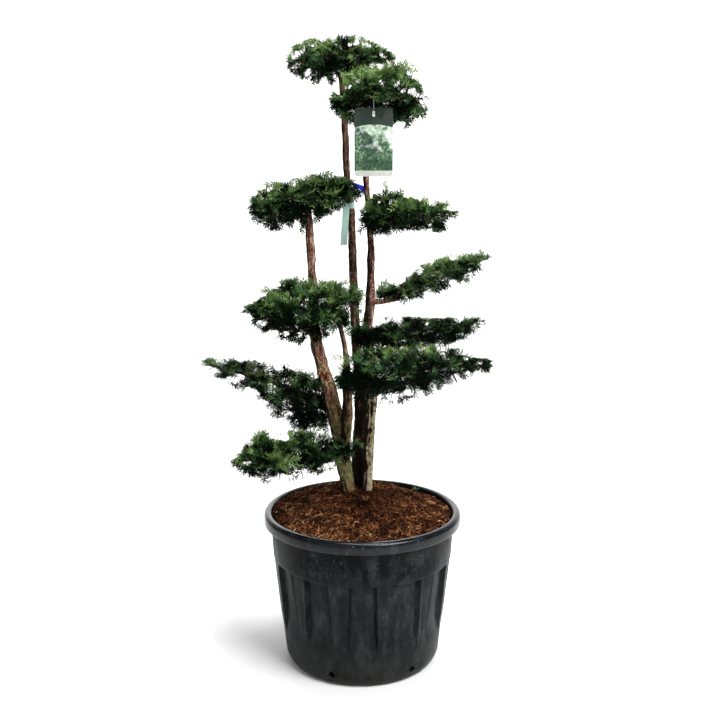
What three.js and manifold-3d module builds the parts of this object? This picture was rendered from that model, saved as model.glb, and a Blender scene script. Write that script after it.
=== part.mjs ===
// Cloud-pruned yew in a black nursery container: stems from one root, boughs and clipped foliage pads.
// Millimetres, +Z up, the front of the plant toward -Y, origin at the middle of the pot's flat underside.
import * as THREE from "three";
import { mergeVertices } from "three/addons/utils/BufferGeometryUtils.js";
import Module from "manifold-3d";

const wasm = await Module();
wasm.setup();

// Clearance between solids that meet.
const GAP = 0.3;

// Container: a thermoformed pot with a rolled rim, a plain collar and tapered pilasters.
const POT = {
  height: 539,
  rimRadius: 344,
  rimDrop: 41,
  mouthRadius: 316,
  collarTop: 320,
  collarFoot: 313,
  collarZ: 385,
  bodyTop: 308,
  bodyFoot: 272,
  bodyFootZ: 34,
  footRadius: 240,
  floor: 8,
  panels: 12,
};
const PILASTER = { widthTop: 68, widthFoot: 44, edge: 8, depth: 10, fadeTop: 145, fadeFoot: 105 };
const DRAIN = { count: 6, turn: -22, side: 15, z: 42, reach: 60 };
const POT_COLUMNS = POT.panels * 5;
const SOIL_COLUMNS = POT_COLUMNS / 2;

// Growing medium: nearly flush with the rim and heaped around the stems.
const SOIL = { wallZ: 521, moundZ: 570, moundX: -15, moundY: 128, moundFlat: 88 };
const GROUND = SOIL.moundZ + GAP;

// Stems and boughs, each a row of [x, y, z, radius] from foot to tip.
const FLARE = { share: 0.1, height: 30, lobes: 5, lobeShare: 0.04 };
const STEMS = {
  stem_left: [
    [-52, 105, GROUND, 24], [-64, 101, 655, 26.5], [-79, 97, 758, 25], [-114, 89, 933, 25],
    [-135, 86, 1005, 24], [-164, 80, 1138, 18], [-173, 72, 1338, 14.5], [-179, 64, 1505, 13.5],
    [-184, 60, 1568, 13],
  ],
  stem_centre: [
    [-18, 165, GROUND, 24], [-14, 162, 700, 23], [-8, 159, 891, 18.5], [-26, 154, 1184, 15.5],
    [-34, 150, 1449, 13.2], [-37, 148, 1553, 12.5], [-53, 145, 1701, 11.2], [-61, 142, 1874, 10.8],
    [-72, 140, 2018, 9.5],
  ],
  stem_right: [
    [17, 110, GROUND, 17], [26, 110, 774, 20.5], [30, 110, 860, 20.5], [32, 109, 932, 21],
    [25, 106, 1060, 19], [20, 98, 1163, 17], [28, 90, 1280, 17], [28, 84, 1368, 12.3],
    [29, 78, 1453, 12], [20, 64, 1585, 10.5], [12, 55, 1679, 9.8], [10, 40, 1815, 9],
    [13, 32, 1868, 8.5],
  ],
};
const BOUGHS = {
  stem_slim: {
    parent: "stem_left",
    path: [
      [-67, 98, 690, 16.5], [-61, 77, 745, 18], [-54, 62, 850, 18.5], [-52, 44, 978, 14.5],
      [-54, 33, 1054, 10], [-62, 23, 1119, 8.5], [-80, 12, 1192, 7.5],
    ],
  },
  bough_right_upper: {
    parent: "stem_right",
    path: [[27, 75, 1492, 8.5], [45, 60, 1516, 8], [75, 36, 1530, 7]],
  },
  bough_right_slant: {
    parent: "stem_right",
    path: [[27, 91, 1255, 9.5], [75, 96, 1258, 8.5], [128, 104, 1267, 7.5]],
  },
  bough_right_back: {
    parent: "stem_right",
    path: [[22, 107, 1040, 10], [58, 113, 1070, 9], [98, 117, 1094, 8]],
  },
  bough_right_front: {
    parent: "stem_right",
    path: [[25, 110, 955, 10.5], [45, 60, 972, 9.5], [75, 0, 990, 8.5]],
  },
  bough_left_low: {
    parent: "stem_left",
    path: [[-102, 91, 880, 11.5], [-140, 108, 893, 10], [-180, 125, 905, 9]],
  },
  bough_left_bottom: {
    parent: "stem_left",
    path: [[-74, 98, 716, 11], [-105, 55, 728, 10], [-140, 5, 742, 9]],
  },
};
const STEM_SIDES = 10;
const BOUGH_SIDES = 8;

// Foliage pads: each runs between two ends, with its height above and below that line at even stations.
const PADS = {
  pad_top_left: {
    limb: "stem_centre", from: [-255, 150, 2065], to: [107, 140, 2077], depth: 320, fullest: 0.45,
    rise: [32, 69, 69, 79, 57, 8], fall: [23, 61, 77, 53, 43, 13],
  },
  pad_top_right: {
    limb: "stem_right", from: [-108, -20, 1925], to: [210, -50, 1928], depth: 290, fullest: 0.55,
    rise: [22, 92, 103, 112, 116, 20], fall: [16, 73, 84, 79, 89, 43],
  },
  pad_left_upper: {
    limb: "stem_left", from: [-379, 50, 1582], to: [-11, 30, 1645], depth: 330, fullest: 0.42,
    rise: [30, 67, 67, 74, 52, 13], fall: [30, 93, 95, 88, 60, 26],
  },
  pad_right_upper: {
    limb: "bough_right_upper", from: [-8, 20, 1560], to: [318, 0, 1554], depth: 290, fullest: 0.48,
    rise: [30, 74, 81, 56, 51, 12], fall: [46, 68, 54, 49, 54, 12],
    leader: { share: 0.26, reach: 106, spread: 0.26 },
  },
  pad_right_slant: {
    limb: "bough_right_slant", from: [51, 100, 1276], to: [447, 140, 1408], depth: 250, fullest: 0.55,
    rise: [24, 22, 47, 54, 38, 10], fall: [18, 46, 58, 54, 46, 10],
  },
  pad_left_middle: {
    limb: "stem_slim", from: [-394, -50, 1246], to: [-5, -30, 1267], depth: 345, fullest: 0.48,
    rise: [23, 72, 97, 86, 75, 44], fall: [20, 82, 118, 119, 97, 30],
  },
  pad_right_back: {
    limb: "bough_right_back", from: [-32, 45, 1129], to: [442, 250, 1167], depth: 294, fullest: 0.48,
    rise: [42, 56, 57, 50, 33, 11], fall: [26, 34, 60, 62, 59, 15],
  },
  pad_right_front: {
    limb: "bough_right_front", from: [-95, -70, 1025], to: [426, -100, 1072], depth: 345, fullest: 0.45,
    rise: [20, 87, 82, 77, 52, 27], fall: [24, 97, 98, 79, 39, 24],
  },
  pad_left_low: {
    limb: "bough_left_low", from: [-112, 130, 891], to: [-583, 160, 1031], depth: 330, fullest: 0.36,
    rise: [80, 95, 69, 58, 37, 9], fall: [90, 137, 120, 51, 26, 9],
  },
  pad_left_bottom: {
    limb: "bough_left_bottom", from: [-36, -20, 758], to: [-433, -100, 739], depth: 325, fullest: 0.55,
    rise: [30, 55, 77, 67, 89, 21], fall: [30, 49, 68, 70, 72, 18],
  },
};
// Every pad has a small fused core, and sprays of needles that reach its full outline.
const PAD = { roundness: 0.55, core: 0.62, lump: 0.1, columns: 12, rows: 7 };
const SPRAY = {
  count: 24, root: 0.34, spread: 0.5, notch: 0.17, flat: 0.6, needles: 4, lean: 1.1, twist: 1.9,
};
const GOLDEN_TURN = Math.PI * (3 - Math.sqrt(5));

// Hanging label, ribbon and tie.
const LABEL = {
  width: 122, height: 212, thick: 1.2, corner: 7, x: 35, y: -116, z: 1681, strapWidth: 8, strapRise: 36,
};
const RIBBON = { width: 22, length: 142, thick: 1, topZ: 1594, centreX: -52 };
const TIE = { height: 24, thick: 2.5, z: 1648 };

const COLOURS = {
  pot: 0x2b2c2e, soil: 0x5a3a26, bark: 0x6b5546, foliage: 0x2f5428,
  label: 0x7d9a84, ribbon: 0x9cccc0, tie: 0x1b28b4,
};

// Repeatable random numbers for one pad.
function seededRandom(seed) {
  let state = seed >>> 0;
  return () => {
    state = (state + 0x6d2b79f5) >>> 0;
    let mixed = Math.imul(state ^ (state >>> 15), 1 | state);
    mixed = (mixed + Math.imul(mixed ^ (mixed >>> 7), 61 | mixed)) ^ mixed;
    return ((mixed ^ (mixed >>> 14)) >>> 0) / 4294967296;
  };
}

// A closed three.js geometry as a solid that can be joined and cut.
function solidOf(geometry) {
  const bare = geometry.clone();
  bare.deleteAttribute("normal");
  bare.deleteAttribute("uv");
  const merged = mergeVertices(bare, 1e-3);
  const corners = merged.index.array;
  const kept = [];
  for (let i = 0; i < corners.length; i += 3) {
    const [a, b, c] = [corners[i], corners[i + 1], corners[i + 2]];
    if (a !== b && b !== c && a !== c) kept.push(a, b, c);
  }
  const mesh = new wasm.Mesh({
    numProp: 3,
    vertProperties: merged.attributes.position.array,
    triVerts: new Uint32Array(kept),
  });
  return new wasm.Manifold(mesh);
}

// The largest closed shell of a solid, without loose scraps or sealed hollows.
function mainShell(body) {
  return body.decompose().reduce((best, piece) => (piece.volume() > best.volume() ? piece : best));
}

function geometryOf(body) {
  const mesh = body.getMesh();
  const geometry = new THREE.BufferGeometry();
  geometry.setAttribute("position", new THREE.BufferAttribute(mesh.vertProperties, 3));
  geometry.setIndex(new THREE.BufferAttribute(mesh.triVerts, 1));
  geometry.computeVertexNormals();
  return geometry;
}

// Moves every vertex of a geometry through a function of its position.
function warp(geometry, move) {
  const position = geometry.attributes.position;
  const point = new THREE.Vector3();
  for (let i = 0; i < position.count; i += 1) {
    point.fromBufferAttribute(position, i);
    const moved = move(point, i);
    position.setXYZ(i, moved.x, moved.y, moved.z);
  }
  return geometry;
}

const vectors = (rows) => rows.map(([x, y, z]) => new THREE.Vector3(x, y, z));
const lathe = (rows, columns) =>
  new THREE.LatheGeometry(rows.map(([r, z]) => new THREE.Vector2(r, z)), columns).rotateX(Math.PI / 2);

// Half the angle that a pilaster covers at height z on the pot's body.
function pilasterHalfAngle(z) {
  const rise = THREE.MathUtils.clamp((z - PILASTER.fadeFoot) / (POT.collarZ - PILASTER.fadeFoot), 0, 1);
  const width = THREE.MathUtils.lerp(PILASTER.widthFoot, PILASTER.widthTop, rise);
  return width / 2 / POT.bodyTop;
}

function buildPot() {
  const bodyAt = (z) =>
    THREE.MathUtils.mapLinear(z, POT.bodyFootZ, POT.collarZ - 7, POT.bodyFoot, POT.bodyTop);
  const top = POT.height;
  const rimFoot = top - POT.rimDrop;
  const grooveTop = POT.collarZ - 19;
  const outside = [
    [0, 0], [POT.footRadius, 0], [262, 12], [POT.bodyFoot, POT.bodyFootZ],
    [bodyAt(PILASTER.fadeFoot), PILASTER.fadeFoot], [bodyAt(PILASTER.fadeTop), PILASTER.fadeTop],
    [bodyAt(grooveTop), grooveTop], [POT.bodyTop, POT.collarZ - 7], [POT.collarFoot, POT.collarZ],
    [POT.collarTop, rimFoot + 2],
  ];
  const rim = [
    [POT.rimRadius - 5, rimFoot], [POT.rimRadius, rimFoot + 5], [POT.rimRadius, top - 14],
    [POT.rimRadius - 6, top - 4], [POT.rimRadius - 15, top], [POT.mouthRadius + 4, top - 3],
  ];
  const inside = [
    [POT.mouthRadius, top - 13], [POT.mouthRadius - 4, POT.collarZ + 7], [287, 368], [256, 60],
    [POT.footRadius, POT.floor], [0, POT.floor],
  ];
  const rows = [...outside, ...rim, ...inside];
  const pitch = (Math.PI * 2) / POT.panels;
  const shell = warp(lathe(rows, POT_COLUMNS), (point, i) => {
    const row = i % rows.length;
    const column = Math.floor(i / rows.length) % POT_COLUMNS;
    if (row === 0 || row >= outside.length) return point;
    const [radius, z] = rows[row];
    const panel = Math.floor(column / 5);
    const half = pilasterHalfAngle(z);
    const edge = half + PILASTER.edge / POT.bodyTop;
    const offset = [0, pitch / 2 - edge, pitch / 2 - half, pitch / 2 + half, pitch / 2 + edge][column % 5];
    const sunk = [true, true, false, false, true][column % 5];
    const grooved = z === grooveTop ? 1 : z === PILASTER.fadeTop ? 0.7 : 0;
    const r = radius - (sunk ? PILASTER.depth * grooved : 0);
    const angle = panel * pitch + offset;
    return new THREE.Vector3(r * Math.sin(angle), -r * Math.cos(angle), z);
  });
  let pot = solidOf(shell);
  for (let i = 0; i < DRAIN.count; i += 1) {
    const angle = THREE.MathUtils.degToRad(DRAIN.turn) + (i * Math.PI * 2) / DRAIN.count;
    const hole = new THREE.BoxGeometry(DRAIN.side, DRAIN.reach, DRAIN.side)
      .rotateY(Math.PI / 4)
      .translate(0, -POT.bodyFoot, DRAIN.z)
      .rotateZ(angle);
    pot = pot.subtract(solidOf(hole));
  }
  return pot;
}

// Height of the heaped medium above a point of the pot's mouth.
function soilHeight(x, y) {
  const toWall = POT.mouthRadius - Math.hypot(x, y);
  const fromFlat = Math.max(0, Math.hypot(x - SOIL.moundX, y - SOIL.moundY) - SOIL.moundFlat);
  const share = THREE.MathUtils.clamp(toWall / (toWall + fromFlat), 0, 1);
  return THREE.MathUtils.lerp(SOIL.wallZ, SOIL.moundZ, THREE.MathUtils.smoothstep(share, 0, 1));
}

function buildSoil() {
  const wall = [
    [0, POT.floor + 0.5], [POT.footRadius - 0.6, POT.floor + 0.5], [255.4, 60.1], [286.4, 368.2],
    [POT.mouthRadius - 4.6, POT.collarZ + 7.3], [POT.mouthRadius - 0.6, SOIL.wallZ],
  ];
  const top = [295, 255, 210, 165, 120, 70, 35, 0].map((radius) => [radius, SOIL.wallZ]);
  const rows = [...wall, ...top];
  const heap = warp(lathe(rows, SOIL_COLUMNS), (point, i) => {
    if (i % rows.length >= wall.length) point.z = soilHeight(point.x, point.y);
    return point;
  });
  return solidOf(heap);
}

// A limb runs smoothly through its rows; its radius changes evenly between them.
function limbOf(rows) {
  const curve = new THREE.CatmullRomCurve3(vectors(rows), false, "centripetal");
  const radii = rows.map((row) => row[3]);
  const radius = (t) => stationAt(radii, t);
  return { rows, curve, radius, tip: curve.getPoint(1), tipRadius: radius(1) };
}

// An upright stem with level rings, a flat cut at the ground and a lobed root flare.
function stemSolid(limb, swell = 0) {
  const steps = (limb.rows.length - 1) * 2 + 2;
  const shape = warp(new THREE.CylinderGeometry(1, 1, 1, STEM_SIDES, steps), (point) => {
    const t = THREE.MathUtils.clamp(point.y + 0.5, 0, 1);
    const eased = t < 0.2 ? t * (0.4 + 3 * t) : t;
    const centre = limb.curve.getPoint(eased);
    const angle = Math.atan2(point.z, point.x);
    const flare = FLARE.share * Math.exp((GROUND - centre.z) / FLARE.height);
    const lobe = 1 + flare * (1 + (FLARE.lobeShare / FLARE.share) * Math.cos(FLARE.lobes * angle));
    const r = limb.radius(eased) * lobe + swell;
    const lift = t === 0 ? -swell : t === 1 ? swell : 0;
    return new THREE.Vector3(centre.x + r * point.x, centre.y - r * point.z, centre.z + lift);
  });
  return solidOf(shape);
}

// A side limb with rings square to its own line.
function boughSolid(limb, swell = 0, sides = BOUGH_SIDES) {
  const steps = (limb.rows.length - 1) * 2;
  const run = limb.curve.getPoint(1).sub(limb.curve.getPoint(0));
  const steep = Math.abs(run.z) > run.length() * 0.7;
  const guide = steep ? new THREE.Vector3(1, 0, 0) : new THREE.Vector3(0, 0, 1);
  const shape = warp(new THREE.CylinderGeometry(1, 1, 1, sides, steps), (point) => {
    const t = THREE.MathUtils.clamp(point.y + 0.5, 0, 1);
    const tangent = limb.curve.getTangent(t);
    const across = guide.clone().addScaledVector(tangent, -guide.dot(tangent)).normalize();
    const other = across.clone().cross(tangent);
    const r = limb.radius(t) + swell;
    const lift = t === 0 ? -swell : t === 1 ? swell : 0;
    return limb.curve.getPoint(t)
      .addScaledVector(across, r * point.x)
      .addScaledVector(other, r * point.z)
      .addScaledVector(tangent, lift);
  });
  return solidOf(shape);
}

// Value of an evenly spaced row of stations at a share of its length.
function stationAt(row, share) {
  const place = THREE.MathUtils.clamp(share, 0, 1) * (row.length - 1);
  const i = Math.min(Math.floor(place), row.length - 2);
  return THREE.MathUtils.lerp(row[i], row[i + 1], place - i);
}

// The space of one pad: points at a share of its length, a turn about its line and a share of its half-width.
function padSpace(pad) {
  const [from, to] = vectors([pad.from, pad.to]);
  const length = to.distanceTo(from);
  const along = to.clone().sub(from).normalize();
  const across = along.clone().cross(new THREE.Vector3(0, 0, 1)).normalize();
  const up = new THREE.Vector3(0, 0, 1);
  const skew = Math.log(0.5) / Math.log(pad.fullest);
  const centre = (s) => from.clone().lerp(to, s);
  const wideAt = (s) => (pad.depth / 2) * Math.max(0.12, Math.sin(Math.PI * s ** skew)) ** PAD.roundness;
  const tallAt = (s, upward) => stationAt(upward ? pad.rise : pad.fall, s);
  const at = (s, turn, share) =>
    centre(s)
      .addScaledVector(across, share * wideAt(s) * Math.cos(turn))
      .addScaledVector(up, share * tallAt(s, Math.sin(turn) > 0) * Math.sin(turn));
  const holds = (point) => {
    const offset = point.clone().sub(from);
    const s = (offset.x * along.x + offset.y * along.y) / (along.x ** 2 + along.y ** 2) / length;
    if (s <= 0 || s >= 1) return false;
    offset.copy(point).sub(centre(s));
    return Math.hypot(offset.dot(across) / wideAt(s), offset.z / tallAt(s, offset.z > 0)) < 1;
  };
  return { along, across, up, centre, at, holds };
}

// The fused inner core: a lumpy lens about the pad's line.
function padCore(space, phase) {
  const ball = new THREE.SphereGeometry(1, PAD.columns, PAD.rows);
  const core = warp(ball, (point) => {
    const s = THREE.MathUtils.clamp((1 - point.y) / 2, 0, 1);
    const turn = Math.atan2(-point.z, point.x);
    if (s < 1e-6 || s > 1 - 1e-6) return space.centre(0.05 + 0.9 * s);
    const lump = 1 + PAD.lump * Math.sin(3 * turn + phase) * Math.sin(7 * s + phase);
    return space.at(0.05 + 0.9 * s, turn, PAD.core * lump);
  });
  return solidOf(core);
}

// A spray of needles with its stalk at the origin, growing along +Y.
// Its slim core carries needles that splay round a lead tip.
function sprayGeometry(length, spread) {
  const profile = [[0, 0], [1, 0.5], [0, 1]].map(([r, y]) => new THREE.Vector2(r, y));
  const spray = new THREE.LatheGeometry(profile, SPRAY.needles * 2);
  return warp(spray, (point, i) => {
    const needle = Math.floor(i / profile.length) % 2 === 0;
    const splay = needle ? spread : SPRAY.notch;
    const ring = Math.hypot(point.x, point.z) > 0.5;
    const y = ring ? (needle ? 0.8 : 0.5) : point.y;
    return new THREE.Vector3(point.x * splay, y, point.z * splay * SPRAY.flat).multiplyScalar(length);
  });
}

// The far point along a ray from the pad's line that is still inside its space.
function reachOf(space, start, direction) {
  let near = 0;
  let far = 400;
  for (let i = 0; i < 24; i += 1) {
    const middle = (near + far) / 2;
    if (space.holds(start.clone().addScaledVector(direction, middle))) near = middle;
    else far = middle;
  }
  return near;
}

// One pad: its stem, its core, and sprays turned about its line by the golden angle with stalks in the core.
function buildPad(pad, index, limb, keepOut) {
  const random = seededRandom(100 + index * 17);
  const space = padSpace(pad);
  const phase = random() * Math.PI * 2;
  const pieces = [padCore(space, phase)];
  const length = space.centre(1).distanceTo(space.centre(0));
  const passed = limb.tip.clone().sub(space.centre(0)).dot(space.along) / length;
  const join = THREE.MathUtils.clamp(passed, 0.12, 0.88);
  const foot = limb.tip.clone().sub(limb.curve.getTangent(1).multiplyScalar(4));
  const middle = foot.clone().lerp(space.centre(join), 0.5);
  const stem = limbOf([
    [...foot.toArray(), limb.tipRadius], [...middle.toArray(), limb.tipRadius * 0.9],
    [...space.centre(join).toArray(), limb.tipRadius * 0.7],
  ]);
  pieces.push(boughSolid(stem, 0, 6));
  const grow = (start, outward, reach, spread = SPRAY.spread) => {
    const root = start.clone().addScaledVector(outward, reach * SPRAY.root);
    const flat = space.up.clone().addScaledVector(outward, -space.up.dot(outward));
    if (flat.length() < 0.35) flat.copy(space.across).addScaledVector(outward, -space.across.dot(outward));
    const normal = flat.normalize().applyAxisAngle(outward, (random() - 0.5) * SPRAY.twist);
    const place = new THREE.Matrix4()
      .makeBasis(outward.clone().cross(normal), outward, normal)
      .setPosition(root);
    const spray = solidOf(sprayGeometry(reach * (1 - SPRAY.root), spread).applyMatrix4(place));
    if (keepOut.every((body) => spray.intersect(body).isEmpty())) pieces.push(spray);
  };
  for (const end of [0, 1]) {
    const outward = space.along.clone().multiplyScalar(end * 2 - 1);
    const start = space.centre(0.2 + 0.6 * end);
    grow(start, outward, reachOf(space, start, outward));
  }
  for (let i = 0; i < SPRAY.count; i += 1) {
    const share = (i + 0.5 + (random() - 0.5) * 0.5) / SPRAY.count;
    const start = space.centre(share);
    const outward = space.at(share, phase + i * GOLDEN_TURN, 1).sub(start).normalize()
      .addScaledVector(space.along, (share - 0.5) * SPRAY.lean)
      .normalize();
    grow(start, outward, reachOf(space, start, outward));
  }
  if (pad.leader) {
    const { share, reach, spread } = pad.leader;
    grow(space.centre(share), space.up.clone(), reach, spread);
  }
  const joined = pieces.reduce((whole, piece) => whole.add(piece));
  const cleared = keepOut.reduce((whole, body) => whole.subtract(body), joined);
  return mainShell(cleared);
}

// The label hangs by its own strap, which rises from the middle of its top edge.
function labelShape(swell) {
  const w = LABEL.width / 2 + swell;
  const h = LABEL.height + swell;
  const s = LABEL.strapWidth / 2 + swell;
  const c = LABEL.corner;
  const shape = new THREE.Shape();
  shape.moveTo(-w, c - swell);
  shape.lineTo(c - w, -swell);
  shape.lineTo(w - c, -swell);
  shape.lineTo(w, c - swell);
  shape.lineTo(w, h - c);
  shape.lineTo(w - c, h);
  shape.lineTo(s, h);
  shape.lineTo(s, h + LABEL.strapRise);
  shape.lineTo(-s, h + LABEL.strapRise);
  shape.lineTo(-s, h);
  shape.lineTo(c - w, h);
  shape.lineTo(-w, h - c);
  shape.closePath();
  return shape;
}

function buildLabel(swell = 0) {
  const depth = LABEL.thick + swell * 2;
  const plate = new THREE.ExtrudeGeometry(labelShape(swell), { depth, bevelEnabled: false })
    .rotateX(Math.PI / 2)
    .translate(LABEL.x, LABEL.y + depth / 2, LABEL.z);
  return solidOf(plate);
}

// Where a stem's own line passes a height.
function stemAt(limb, z) {
  let near = 0;
  let far = 1;
  for (let i = 0; i < 40; i += 1) {
    const middle = (near + far) / 2;
    if (limb.curve.getPoint(middle).z < z) near = middle;
    else far = middle;
  }
  return { centre: limb.curve.getPoint(near), radius: limb.radius(near) };
}

function buildRibbon(limb) {
  const { centre, radius } = stemAt(limb, RIBBON.topZ);
  const y = centre.y - radius - GAP - RIBBON.thick / 2;
  const strip = new THREE.BoxGeometry(RIBBON.width, RIBBON.thick, RIBBON.length)
    .translate(RIBBON.centreX, y, RIBBON.topZ - RIBBON.length / 2);
  return solidOf(strip);
}

function buildTie(limbA, limbB) {
  const a = stemAt(limbA, TIE.z);
  const b = stemAt(limbB, TIE.z);
  const run = b.centre.clone().sub(a.centre).setZ(0);
  const length = run.length() - a.radius - b.radius - GAP * 6;
  const along = run.clone().normalize();
  const middle = a.centre.clone().addScaledVector(along, a.radius + GAP * 3 + length / 2);
  const band = new THREE.BoxGeometry(length, TIE.thick, TIE.height)
    .rotateZ(Math.atan2(along.y, along.x))
    .translate(middle.x, middle.y, TIE.z);
  return solidOf(band);
}

const plant = new THREE.Group();
plant.name = "cloud_pruned_yew";

function addNode(name, body, colour, roughness) {
  const material = new THREE.MeshStandardMaterial({ color: colour, roughness, metalness: 0 });
  const mesh = new THREE.Mesh(geometryOf(body), material);
  mesh.name = name;
  plant.add(mesh);
}

addNode("pot", buildPot(), COLOURS.pot, 0.55);
addNode("soil", buildSoil(), COLOURS.soil, 0.95);

const limbs = {};
const keepOut = [];
for (const [name, rows] of Object.entries(STEMS)) {
  limbs[name] = limbOf(rows);
  keepOut.push(stemSolid(limbs[name], GAP));
  addNode(name, stemSolid(limbs[name]), COLOURS.bark, 0.85);
}
for (const [name, bough] of Object.entries(BOUGHS)) {
  limbs[name] = limbOf(bough.path);
  const parent = stemSolid(limbs[bough.parent], GAP);
  addNode(name, mainShell(boughSolid(limbs[name]).subtract(parent)), COLOURS.bark, 0.85);
}
for (const name of Object.keys(BOUGHS)) keepOut.push(boughSolid(limbs[name], GAP));
keepOut.push(buildLabel(GAP));

Object.entries(PADS).forEach(([name, pad], index) => {
  addNode(name, buildPad(pad, index, limbs[pad.limb], keepOut), COLOURS.foliage, 0.7);
});

addNode("hang_label", buildLabel(), COLOURS.label, 0.5);
addNode("ribbon", buildRibbon(limbs.stem_centre), COLOURS.ribbon, 0.4);
addNode("stem_tie", buildTie(limbs.stem_centre, limbs.stem_right), COLOURS.tie, 0.5);

export default plant;
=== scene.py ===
"""Cloud-pruned yew in a black nursery pot: bark, mulch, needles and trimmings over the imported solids."""
import logging
import math
from dataclasses import dataclass, field
from enum import Enum
from typing import Sequence

import bpy
import numpy as np
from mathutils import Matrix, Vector


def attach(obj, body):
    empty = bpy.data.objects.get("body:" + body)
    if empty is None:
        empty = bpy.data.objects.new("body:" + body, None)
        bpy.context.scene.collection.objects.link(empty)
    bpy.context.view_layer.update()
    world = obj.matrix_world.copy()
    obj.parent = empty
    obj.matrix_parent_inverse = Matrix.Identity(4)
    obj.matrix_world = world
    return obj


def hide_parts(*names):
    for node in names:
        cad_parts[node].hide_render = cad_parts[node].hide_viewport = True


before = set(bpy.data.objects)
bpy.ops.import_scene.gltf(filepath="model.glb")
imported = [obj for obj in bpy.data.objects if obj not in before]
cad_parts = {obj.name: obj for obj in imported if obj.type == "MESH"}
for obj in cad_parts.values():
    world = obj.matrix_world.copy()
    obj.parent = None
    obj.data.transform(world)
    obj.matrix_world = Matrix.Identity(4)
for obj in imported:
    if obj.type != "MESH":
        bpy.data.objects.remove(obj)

Array = np.ndarray
Colour = tuple[float, float, float]
Rows = Sequence[Sequence[float]]
Dealer = np.random.Generator
Material = bpy.types.Material
Node = bpy.types.Node
Piece = bpy.types.Object
Socket = bpy.types.NodeSocket

LOG = logging.getLogger("potted_yew")
BODY = "root"
# Metres in a millimetre, the camera's place in millimetres, and the sag of a level twig over its squared length.
MM = 0.001
EYE = np.array([-8.0, -3134.0, 1634.0])
SAG = 0.0013
UP = np.array([0.0, 0.0, 1.0])
TURN = 2.0 * math.pi
GOLDEN_TURN = math.pi * (3.0 - math.sqrt(5.0))
WORD = 0xFFFFFFFF


def unit(vectors: Array) -> Array:
    """Vectors of length one along the last axis."""
    return vectors / np.maximum(np.linalg.norm(vectors, axis=-1, keepdims=True), 1e-9)


def xyz(x: Array, y: Array, z: Array) -> Array:
    """Points from their three coordinates, spread to one shape."""
    return np.stack(np.broadcast_arrays(x, y, z), axis=-1)


def ring_turns(count: int) -> Array:
    """Even angles round a ring."""
    return np.linspace(0.0, TURN, count, endpoint=False)


def smooth_step(low: float, high: float, value: Array) -> Array:
    """A soft ramp from 0 at low to 1 at high."""
    share = np.clip((value - low) / (high - low), 0, 1)
    return share * share * (3.0 - 2.0 * share)


def run_along(points: Array) -> Array:
    """Distance along a line at each of its points, as one column."""
    return np.concatenate(([0.0], np.cumsum(np.linalg.norm(np.diff(points, axis=0), axis=1))))[:, None]


def shifted(points: Array, depth: Array) -> Array:
    """Points moved along the camera's line of sight to other depths, so that they look the same from the front."""
    share = (depth - EYE[1]) / (points[..., 1] - EYE[1])
    return EYE + (points - EYE) * share[..., None]


class SeedRow:
    """The repeatable row of numbers that the solids of one pad draw from."""

    def __init__(self, seed: int) -> None:
        """Starts the row at its seed."""
        self.state = seed & WORD

    def draw(self) -> float:
        """The next number of the row.

        Returns:
            A number from 0 up to 1, the same on every run.
        """
        self.state = (self.state + 0x6D2B79F5) & WORD
        mixed = ((self.state ^ (self.state >> 15)) * (1 | self.state)) & WORD
        stirred = ((mixed ^ (mixed >> 7)) * (61 | mixed)) & WORD
        mixed = ((mixed + stirred) & WORD) ^ mixed
        return (mixed ^ (mixed >> 14)) / (WORD + 1)


class GrainNoise:
    """Smooth bumps on an even lattice, the same on every run."""

    size = 256

    def __init__(self, seed: int) -> None:
        """Deals out the lattice heights.

        Args:
            seed: Seed of the deal.
        """
        dealer = np.random.default_rng(seed)
        self.order = dealer.permutation(self.size)
        self.heights = dealer.uniform(-1.0, 1.0, self.size)

    def at(self, points: Array) -> Array:
        """Height of the bumps at some points.

        Args:
            points: Places on the lattice, with x, y and z on the last axis.

        Returns:
            Heights from -1 to 1.
        """
        cell = np.floor(points).astype(int)
        part = points - cell
        part = part * part * (3.0 - 2.0 * part)
        total = np.zeros(points.shape[:-1])
        for corner in np.ndindex(2, 2, 2):
            spot = (cell + np.array(corner)) % self.size
            row = self.order[(self.order[spot[..., 0]] + spot[..., 1]) % self.size]
            place = self.order[(row + spot[..., 2]) % self.size]
            weight = np.where(np.array(corner, bool), part, 1.0 - part).prod(axis=-1)
            total += weight * self.heights[place]
        return total


def grid_faces(rows: int, columns: int, closed: bool) -> Array:
    """Four-cornered faces of a grid of points.

    Args:
        rows: Rows of points.
        columns: Points in each row.
        closed: Whether each row's last point joins its first.

    Returns:
        Corner numbers, one row a face.
    """
    index = np.arange(rows * columns).reshape(rows, columns)
    after = np.roll(index, -1, axis=1)
    if not closed:
        index, after = index[:, :-1], after[:, :-1]
    return np.stack([index[:-1], after[:-1], after[1:], index[1:]], axis=-1).reshape(-1, 4)


def blade_faces(count: int) -> tuple[Array, Array]:
    """The four-cornered and the three-cornered faces of many blades of five points each."""
    corner = np.arange(count)[:, None] * 5
    return corner + np.array([[0, 1, 3, 2]]), corner + np.array([[2, 3, 4]])


def tube_rings(paths: Array) -> tuple[Array, Array]:
    """Two directions square to each line at each of its points.

    Args:
        paths: Lines x rings x 3.

    Returns:
        The two directions, each of the paths' own shape.
    """
    tangents = unit(np.gradient(paths, axis=1))
    run = unit(paths[:, -1] - paths[:, 0])
    guide = np.where(np.abs(run[:, 2:3]) > 0.75, [[1.0, 0.0, 0.0]], UP[None])
    across = unit(np.cross(tangents, guide[:, None, :]))
    return across, np.cross(across, tangents)


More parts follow.
